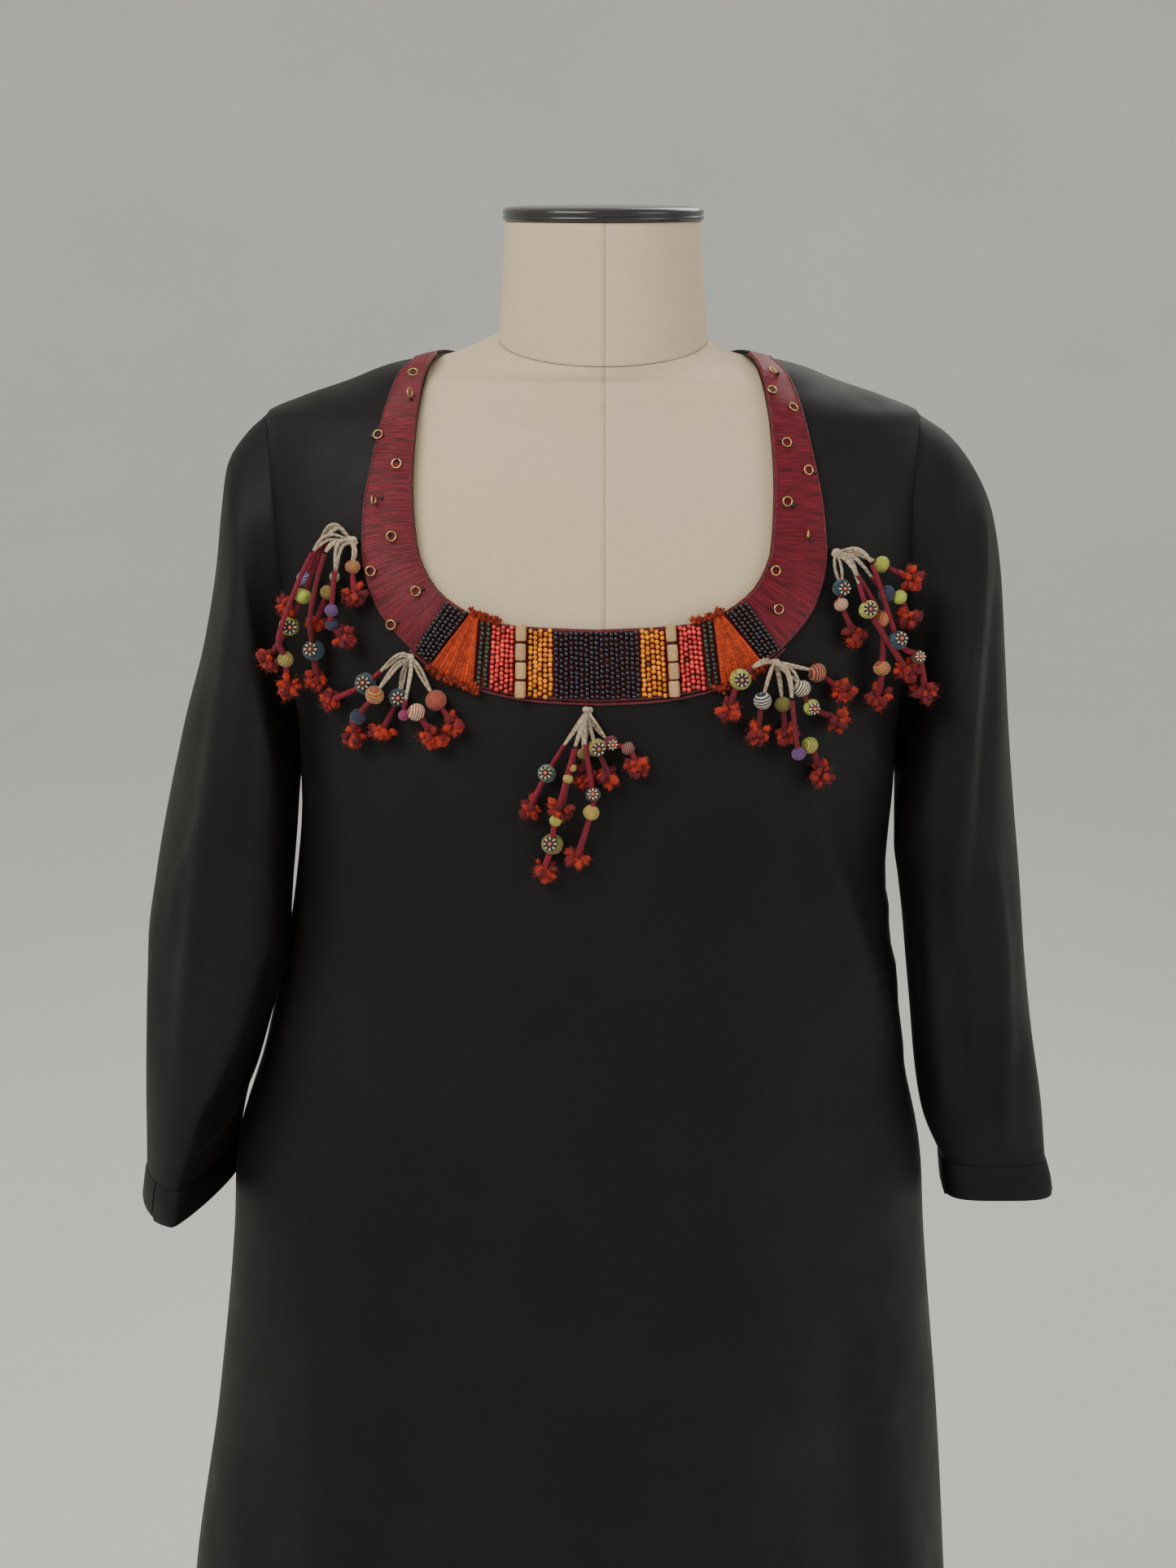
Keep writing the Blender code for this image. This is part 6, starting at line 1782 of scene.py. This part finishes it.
def tassel_mesh(number, root, strands, finishes):
    """Cords, stems, covered beads, rosettes and cut tufts of one cluster."""
    rng = np.random.default_rng(40 + number)
    settings = bpy.context.scene.tunic_tassels
    cream, yarn = tuple(settings.cord), tuple(settings.yarn)
    name = "tassels_%d" % number
    cords, stems, lobes, hairs, golds, corals, grounds = [], [], [], [], [], [], []
    knot = front_place(root[0], root[1], KNOT_RADIUS)
    balls = [(knot + rng.normal(0, 0.0011, 3), (0.2, -0.3, 1), 0.0019, cream, cream) for _ in range(5)]
    for strand in strands:
        stops = np.array([knot] + [
            front_place(root[0] + stop[0] / 1000, root[1] + stop[1] / 1000, stop[3] / 1000)
            for stop in strand
        ])
        path = smooth_path(stops, 60)
        along = lengths(path)
        run = lengths(stops)
        first = next(k for k, stop in enumerate(strand) if stop[2] > 2)
        until = min(run[first + 1], rng.uniform(0.020, 0.030))
        cord = path[along <= until]
        sway = np.sin(np.linspace(0, math.pi, len(cord)))[:, None]
        beside = unit(np.cross(np.gradient(cord, axis=0), (0, 1, 0)))
        for shift in (-0.0008, 0.0008):
            line = cord + rng.normal(0, 0.0005, 3) * sway + shift * beside * sway
            cords.append(tube(line, settings.cord_radius, varied(rng, cream, 1, 0.08)[0]))
        stem = path[along >= until - 0.001]
        swell = 0.0014 + 0.0007 * np.linspace(0, 1, len(stem)) ** 2
        stems.append(tube(stem, swell, varied(rng, yarn, 1, 0.15)[0], 9))
        tuft = tuft_points(rng, path[-1], path[-1] - path[-5], strand[-1][2] / 1000 * TUFT_SPREAD)
        lobes.append(tuft[0])
        hairs.append(tuft[1])
        for place, stop, way in zip(stops[1:], strand, np.gradient(stops, axis=0)[1:]):
            if len(stop) < 6:
                continue
            radius = stop[2] / 1000
            balls.append((place, way, radius, TINTS[stop[4]], TINTS[stop[5]]))
            if len(stop) > 6:
                sewn_rosette(rng, place, radius, golds, corals, grounds)
    ways = unit(np.array([ball[1] for ball in balls], float)) + rng.normal(0, 0.12, (len(balls), 3))
    radii = np.array([ball[2] for ball in balls]) * 1000
    sizes = np.stack([radii, radii, radii * rng.uniform(0.86, 0.97, len(radii))], axis=1)
    lobes, hairs = ([np.concatenate(rows) for rows in zip(*group)] for group in (lobes, hairs))
    meshes = [
        tubes_mesh(name, cords, finishes["cord"]),
        tubes_mesh(name, stems, finishes["yarn"]),
        grown(name, "bead", [ball[0] for ball in balls], facing(ways), sizes, [ball[3] for ball in balls],
              finishes["covered"], [ball[4] for ball in balls], Radius=0.001, Length=0.001,
              Sides=20, Rings=12, Roughness=0.0011, Seed=float(number)),
        grown(name, "bead", lobes[0], facing(lobes[1]), lobes[2], lobes[3], finishes["yarn"],
              Radius=0.0020, Length=0.0029, Rings=6, Roughness=0.0042, Seed=float(number)),
        grown(name, "fibre", hairs[0], facing(hairs[1]), hairs[2], hairs[3], finishes["yarn"],
              Radius=0.00016, Length=0.0042, Sides=3),
    ]
    if golds:
        meshes += rosette_meshes(name, golds, corals, grounds, finishes)
    return joined(name, *meshes)


# Settings


class TunicCloth(bpy.types.PropertyGroup):
    silk_colour: FloatVectorProperty(
        name="Silk colour", description="Colour of the tunic's cloth", subtype="COLOR", size=3,
        min=0, max=1, default=(0.0034, 0.0030, 0.0026))
    silk_roughness: FloatProperty(
        name="Silk roughness", description="How dull the cloth is", min=0.1, max=1, default=0.60)
    silk_sheen: FloatProperty(
        name="Silk sheen", description="Soft sheen at grazing angles", min=0, max=1, default=0.03)
    weave_pitch: FloatProperty(
        name="Weave pitch", description="Distance between neighbouring threads", unit="LENGTH",
        min=0.0001, max=0.002, precision=5, default=0.00045)
    crease_depth: FloatProperty(
        name="Crease depth", description="Scale of the hand-placed creases", min=0, max=3, default=1.5)
    stitch_step: FloatProperty(
        name="Stitch step", description="Distance between the stitches along the vents", unit="LENGTH",
        min=0.002, max=0.01, precision=4, default=0.004)


class TunicBand(bpy.types.PropertyGroup):
    thread_colour: FloatVectorProperty(
        name="Thread colour", description="Colour of the satin stitch", subtype="COLOR", size=3,
        min=0, max=1, default=(0.165, 0.0035, 0.014))
    thread_pitch: FloatProperty(
        name="Thread pitch", description="Distance between neighbouring stitches", unit="LENGTH",
        min=0.0002, max=0.003, precision=5, default=0.0009)
    edge_pitch: FloatProperty(
        name="Edge stitch pitch", description="Length of the stitches along the band's edges", unit="LENGTH",
        min=0.0008, max=0.004, precision=5, default=0.0016)


def colour_setting(name, description, default):
    return FloatVectorProperty(
        name=name, description=description, subtype="COLOR", size=3, min=0, max=1, default=default)


class TunicBeads(bpy.types.PropertyGroup):
    navy: colour_setting("Navy", "Colour of the navy beads", (0.006, 0.007, 0.014))
    orange: colour_setting("Orange", "Colour of the orange beads", (0.90, 0.27, 0.001))
    coral: colour_setting("Coral", "Colour of the coral beads", (0.78, 0.050, 0.045))
    green: colour_setting("Green", "Colour of the green beads", (0.010, 0.040, 0.016))
    black: colour_setting("Black", "Colour of the black beads", (0.009, 0.009, 0.010))
    wool: colour_setting("Wool", "Colour of the wool yarn", (0.58, 0.050, 0.002))
    seed_radius: FloatProperty(
        name="Bead radius", description="Radius of the small beads", unit="LENGTH",
        min=0.0008, max=0.002, precision=5, default=0.0014)
    beads_a_string: IntProperty(
        name="Beads a string", description="Beads on each string across the band", min=8, max=24, default=14)
    wool_strands: IntProperty(
        name="Wool strands", description="Strands of yarn in each layer of wool", min=4, max=20, default=11)


class TunicTassels(bpy.types.PropertyGroup):
    cord: colour_setting("Cord", "Colour of the twisted cords", (0.62, 0.50, 0.34))
    yarn: colour_setting("Yarn", "Colour of the tassels' yarn", (0.24, 0.003, 0.020))
    yarn_ends: colour_setting("Yarn ends", "Colour of the cut ends of the yarn", (0.90, 0.055, 0.004))
    cord_radius: FloatProperty(
        name="Cord radius", description="Radius of the twisted cords", unit="LENGTH",
        min=0.0004, max=0.002, precision=5, default=0.0009)
    tuft_lobes: IntProperty(
        name="Tuft lobes", description="Soft yarn ends in each tuft", min=5, max=60, default=30)


class TunicForm(bpy.types.PropertyGroup):
    linen_colour: FloatVectorProperty(
        name="Linen colour", description="Colour of the form's cover", subtype="COLOR", size=3,
        min=0, max=1, default=(0.66, 0.53, 0.36))
    twill_pitch: FloatProperty(
        name="Twill pitch", description="Distance between neighbouring ribs of the twill",
        unit="LENGTH", min=0.0002, max=0.004, precision=5, default=0.0011)
    seam_x: FloatProperty(
        name="Seam place", description="Place of the centre front seam", unit="LENGTH",
        min=-0.02, max=0.02, precision=4, default=0.0004)


class TunicStage(bpy.types.PropertyGroup):
    floor_colour: FloatVectorProperty(
        name="Floor colour", description="Colour of the floor and its backdrop", subtype="COLOR",
        size=3, min=0, max=1, default=(0.80, 0.79, 0.76))
    key_power: FloatProperty(
        name="Key light", description="Power of the main soft light", unit="POWER",
        min=0, max=400, default=50)
    fill_power: FloatProperty(
        name="Fill light", description="Power of the weaker side light", unit="POWER",
        min=0, max=400, default=16)


# Operators


class TUNIC_OT_front_and_back(bpy.types.Operator):
    """Make the front and back panels"""

    bl_idname = "tunic.front_and_back"
    bl_label = "Front and back"

    def execute(self, context):
        silk = silk_finish()
        front = panel("front", FRONT, FRONT_FOLDS, FRONT_CREASES, HEM_TO_ARMPIT + ARMPIT_TO_SCOOP + 1, silk)
        back = panel("back", BACK, BACK_FOLDS, BACK_CREASES, HEM_TO_ARMPIT + BACK_ARMPIT_TO_TOP + 1, silk)
        return {"FINISHED"}


class TUNIC_OT_sleeves(bpy.types.Operator):
    """Make both sleeves and their cuffs"""

    bl_idname = "tunic.sleeves"
    bl_label = "Sleeves and cuffs"

    def execute(self, context):
        silk = bpy.data.materials["woven_silk"]
        for name, side in SIDES:
            tube = sleeve(name, side, SLEEVE_CREASES[name], silk)
            end = cuff(name, side, silk)
        return {"FINISHED"}


class TUNIC_OT_neck_band(bpy.types.Operator):
    """Make the padded satin stitch band and the binding of the back neck"""

    bl_idname = "tunic.neck_band"
    bl_label = "Neck band and binding"

    def execute(self, context):
        thread, silk = satin_stitch_finish(), bpy.data.materials["woven_silk"]
        band = placed("neck_band_stitched", neck_band_mesh(), thread, "maroon_satin_stitch", "neck_band")
        strip = placed("back_neck_strip", binding_mesh(), silk, "black_silk", "back_neck_binding")
        return {"FINISHED"}


class TUNIC_OT_beadwork(bpy.types.Operator):
    """Make the strung seed beads of the band"""

    bl_idname = "tunic.beadwork"
    bl_label = "Beadwork"

    def execute(self, context):
        beads = context.scene.tunic_beads
        rows = {row[0]: row for row in PAD_ROWS}
        spread = [(-half, half) for half in NAVY_HALF]
        strung_beads("navy_beadwork", 1, *spread, NAVY_COLUMNS, beads.navy,
                     bead_finish("navy_glass", beads.navy), "navy_beads", 11)
        for kind, columns in BEAD_COLUMNS:
            colour = getattr(beads, kind)
            finish = bead_finish(kind + "_glass", colour)
            _, inner_from, inner_to, outer_from, outer_to, _ = rows[kind + "_beads"]
            for seed, (side_name, side) in enumerate(SIDES):
                node = side_name + "_" + kind + "_beads"
                strung_beads(side_name + "_" + kind + "_beadwork", side, (inner_from, inner_to),
                             (outer_from, outer_to), columns, colour, finish, node, 20 + columns + seed)
        return {"FINISHED"}


class TUNIC_OT_wool_and_bone(bpy.types.Operator):
    """Make the fanned wool and the strings of bone tubes"""

    bl_idname = "tunic.wool_and_bone"
    bl_label = "Wool and bone"

    def execute(self, context):
        wool = tinted_finish("orange_wool", tuple(context.scene.tunic_beads.wool), 0.9, pitch=0.0011,
                             distance=0.0004, scatter=0.3, sheen=0.05)
        bone = bone_finish()
        for seed, (name, side) in enumerate(SIDES):
            wool_wedge(name + "_wool_wedge", side, wool, 30 + seed)
            bone_tubes(name + "_bone_beads", side, bone, 34 + seed)
        return {"FINISHED"}


class TUNIC_OT_rings_and_stitches(bpy.types.Operator):
    """Make the band's sewn rings, its edge stitches and the stitches of the side vents"""

    bl_idname = "tunic.rings_and_stitches"
    bl_label = "Rings and stitches"

    def execute(self, context):
        rings = band_rings_mesh(brass_finish(), bpy.data.materials["black_glass"])
        nodes = ["ring_%02d" % (k + 1) for k in range(len(BAND_RINGS))]
        placed("band_rings", rings, None, "brass_wire", *nodes)
        thread = tinted_finish("edge_thread", tuple(context.scene.tunic_band.thread_colour), 0.45,
                               distance=0.0001, sheen=0.2)
        placed("band_edge_stitches", band_edge_mesh(thread), None, "maroon_satin_stitch")
        placed("vent_stitches", vent_stitches_mesh(thread), None, "maroon_satin_stitch")
        return {"FINISHED"}


class TUNIC_OT_tassels(bpy.types.Operator):
    """Make the five clusters of tassels"""

    bl_idname = "tunic.tassels"
    bl_label = "Tassels"

    def execute(self, context):
        tassels = context.scene.tunic_tassels
        finishes = {
            "cord": tinted_finish("cream_cord", tuple(tassels.cord), 0.8, pitch=0.0016,
                                  distance=0.0004, sheen=0.2),
            "yarn": tinted_finish("tassel_yarn", tuple(tassels.yarn), 0.85, pitch=0.0012,
                                  distance=0.0003, sheen=0.04),
            "covered": covered_bead_finish(),
            "gold": bead_finish("rosette_beads", ROSETTE_GOLD, 0.3),
        }
        for number, cluster in enumerate(TASSELS, 1):
            mesh = tassel_mesh(number, cluster["root"], cluster["strands"], finishes)
            placed("tassel_cluster_%d" % number, mesh, None, "tassel_yarn", "tassels_%d" % number)
        return {"FINISHED"}


class TUNIC_OT_dress_form(bpy.types.Operator):
    """Make the linen torso and neck, the cap, the pole and the base"""

    bl_idname = "tunic.dress_form"
    bl_label = "Dress form"

    def execute(self, context):
        linen, lacquer, iron = linen_finish(), lacquer_finish(), iron_finish()
        placed("linen_torso", torso_mesh(), linen, "linen", "form_torso")
        placed("linen_neck", neck_mesh(), linen, "linen", "form_neck")
        placed("neck_cap", turned_mesh("form_cap", FINE_CAP), lacquer, "black_lacquer", "form_cap")
        placed("stand_pole", turned_mesh("form_pole", POLE_PROFILE, 48), iron, "dark_iron", "form_pole")
        placed("stand_base", turned_mesh("form_base", FINE_BASE, 128), iron, "dark_iron", "form_base")
        return {"FINISHED"}


class TUNIC_OT_stage(bpy.types.Operator):
    """Make the floor and backdrop, the soft lights and the camera"""

    bl_idname = "tunic.stage"
    bl_label = "Stage"

    def execute(self, context):
        stage = context.scene.tunic_stage
        make_backdrop(tuple(stage.floor_colour))
        make_lights(stage.key_power, stage.fill_power)
        make_camera()
        return {"FINISHED"}


def make_backdrop(colour):
    """A pale floor that sweeps up far behind the form."""
    rows = [(-FLOOR_REACH, 0.0), (FLOOR_REACH - SWEEP, 0.0)]
    rows += [
        (FLOOR_REACH - SWEEP + SWEEP * math.sin(a), SWEEP - SWEEP * math.cos(a))
        for a in np.linspace(0.05, math.pi / 2, 20)
    ]
    rows += [(FLOOR_REACH, BACKDROP_TOP)]
    points = [(x, y, z) for y, z in rows for x in (-FLOOR_REACH, FLOOR_REACH)]
    faces = [[2 * k, 2 * k + 1, 2 * k + 3, 2 * k + 2] for k in range(len(rows) - 1)]
    mesh = fine_mesh("backdrop", points, faces)
    made, tree, shader = finish_named("pale_floor", colour, 0.9)
    where = own_place(tree)
    base = blend(tree, stretch(tree, grain(tree, where, 0.8), 0.3, 0.7), colour, shade(colour, 0.93))
    tree.links.new(base, shader.inputs["Base Color"])
    mesh.materials.append(made)
    floor = bpy.data.objects.new("backdrop", mesh)
    bpy.context.scene.collection.objects.link(floor)


def soft_light(name, place, target, size, power, colour):
    light = bpy.data.lights.new(name, "AREA")
    light.shape = "RECTANGLE"
    light.size, light.size_y = size
    light.energy = power
    light.color = colour
    made = bpy.data.objects.new(name, light)
    made.location = place
    made.rotation_euler = (Vector(target) - Vector(place)).to_track_quat("-Z", "Y").to_euler()
    bpy.context.scene.collection.objects.link(made)


def make_lights(key_power, fill_power):
    """Three soft lights aimed at the tunic's middle, and a pale world."""
    soft_light("key", (-1.3, -1.5, 2.9), LIT_POINT, (1.6, 1.2), key_power, (1.0, 0.96, 0.90))
    soft_light("fill", (2.0, -1.3, 1.8), LIT_POINT, (1.4, 1.8), fill_power, (0.95, 0.97, 1.0))
    soft_light("back", (0.9, 1.6, 2.6), LIT_POINT, (1.4, 1.0), fill_power, (1.0, 0.98, 0.95))
    world = bpy.data.worlds.new("soft_room")
    world.use_nodes = True
    world.node_tree.nodes["Background"].inputs["Color"].default_value = (0.86, 0.84, 0.80, 1)
    world.node_tree.nodes["Background"].inputs["Strength"].default_value = 0.75
    bpy.context.scene.world = world


def make_camera():
    """The photograph's own view of the form."""
    lens = bpy.data.cameras.new("camera")
    lens.lens = CAMERA_LENS
    lens.sensor_width = 36.0
    made = bpy.data.objects.new("camera", lens)
    made.location = CAMERA_PLACE
    made.rotation_euler = (math.radians(90 - CAMERA_TILT), 0, 0)
    bpy.context.scene.collection.objects.link(made)
    bpy.context.scene.camera = made


class TUNIC_PT_panel(bpy.types.Panel):
    bl_label = "Silk tunic"
    bl_idname = "TUNIC_PT_panel"
    bl_space_type = "VIEW_3D"
    bl_region_type = "UI"
    bl_category = "Tunic"

    def draw(self, context):
        for settings in SETTINGS:
            group = getattr(context.scene, settings)
            box = self.layout.box()
            for key in group.bl_rna.properties.keys():
                if key not in ("rna_type", "name"):
                    box.prop(group, key)
        for operator in OPERATORS:
            self.layout.operator(operator.bl_idname)


SETTINGS = {
    "tunic_cloth": TunicCloth,
    "tunic_band": TunicBand,
    "tunic_beads": TunicBeads,
    "tunic_tassels": TunicTassels,
    "tunic_form": TunicForm,
    "tunic_stage": TunicStage,
}
OPERATORS = (
    TUNIC_OT_front_and_back,
    TUNIC_OT_sleeves,
    TUNIC_OT_neck_band,
    TUNIC_OT_beadwork,
    TUNIC_OT_wool_and_bone,
    TUNIC_OT_rings_and_stitches,
    TUNIC_OT_tassels,
    TUNIC_OT_dress_form,
    TUNIC_OT_stage,
)


def register():
    for name, group in SETTINGS.items():
        bpy.utils.register_class(group)
        setattr(bpy.types.Scene, name, PointerProperty(type=group))
    for operator in OPERATORS:
        bpy.utils.register_class(operator)
    bpy.utils.register_class(TUNIC_PT_panel)


def unregister():
    bpy.utils.unregister_class(TUNIC_PT_panel)
    for operator in reversed(OPERATORS):
        bpy.utils.unregister_class(operator)
    for name, group in SETTINGS.items():
        delattr(bpy.types.Scene, name)
        bpy.utils.unregister_class(group)


def main():
    register()
    for operator in OPERATORS:
        group, name = operator.bl_idname.split(".")
        getattr(getattr(bpy.ops, group), name)()


if __name__ == "__main__":
    main()
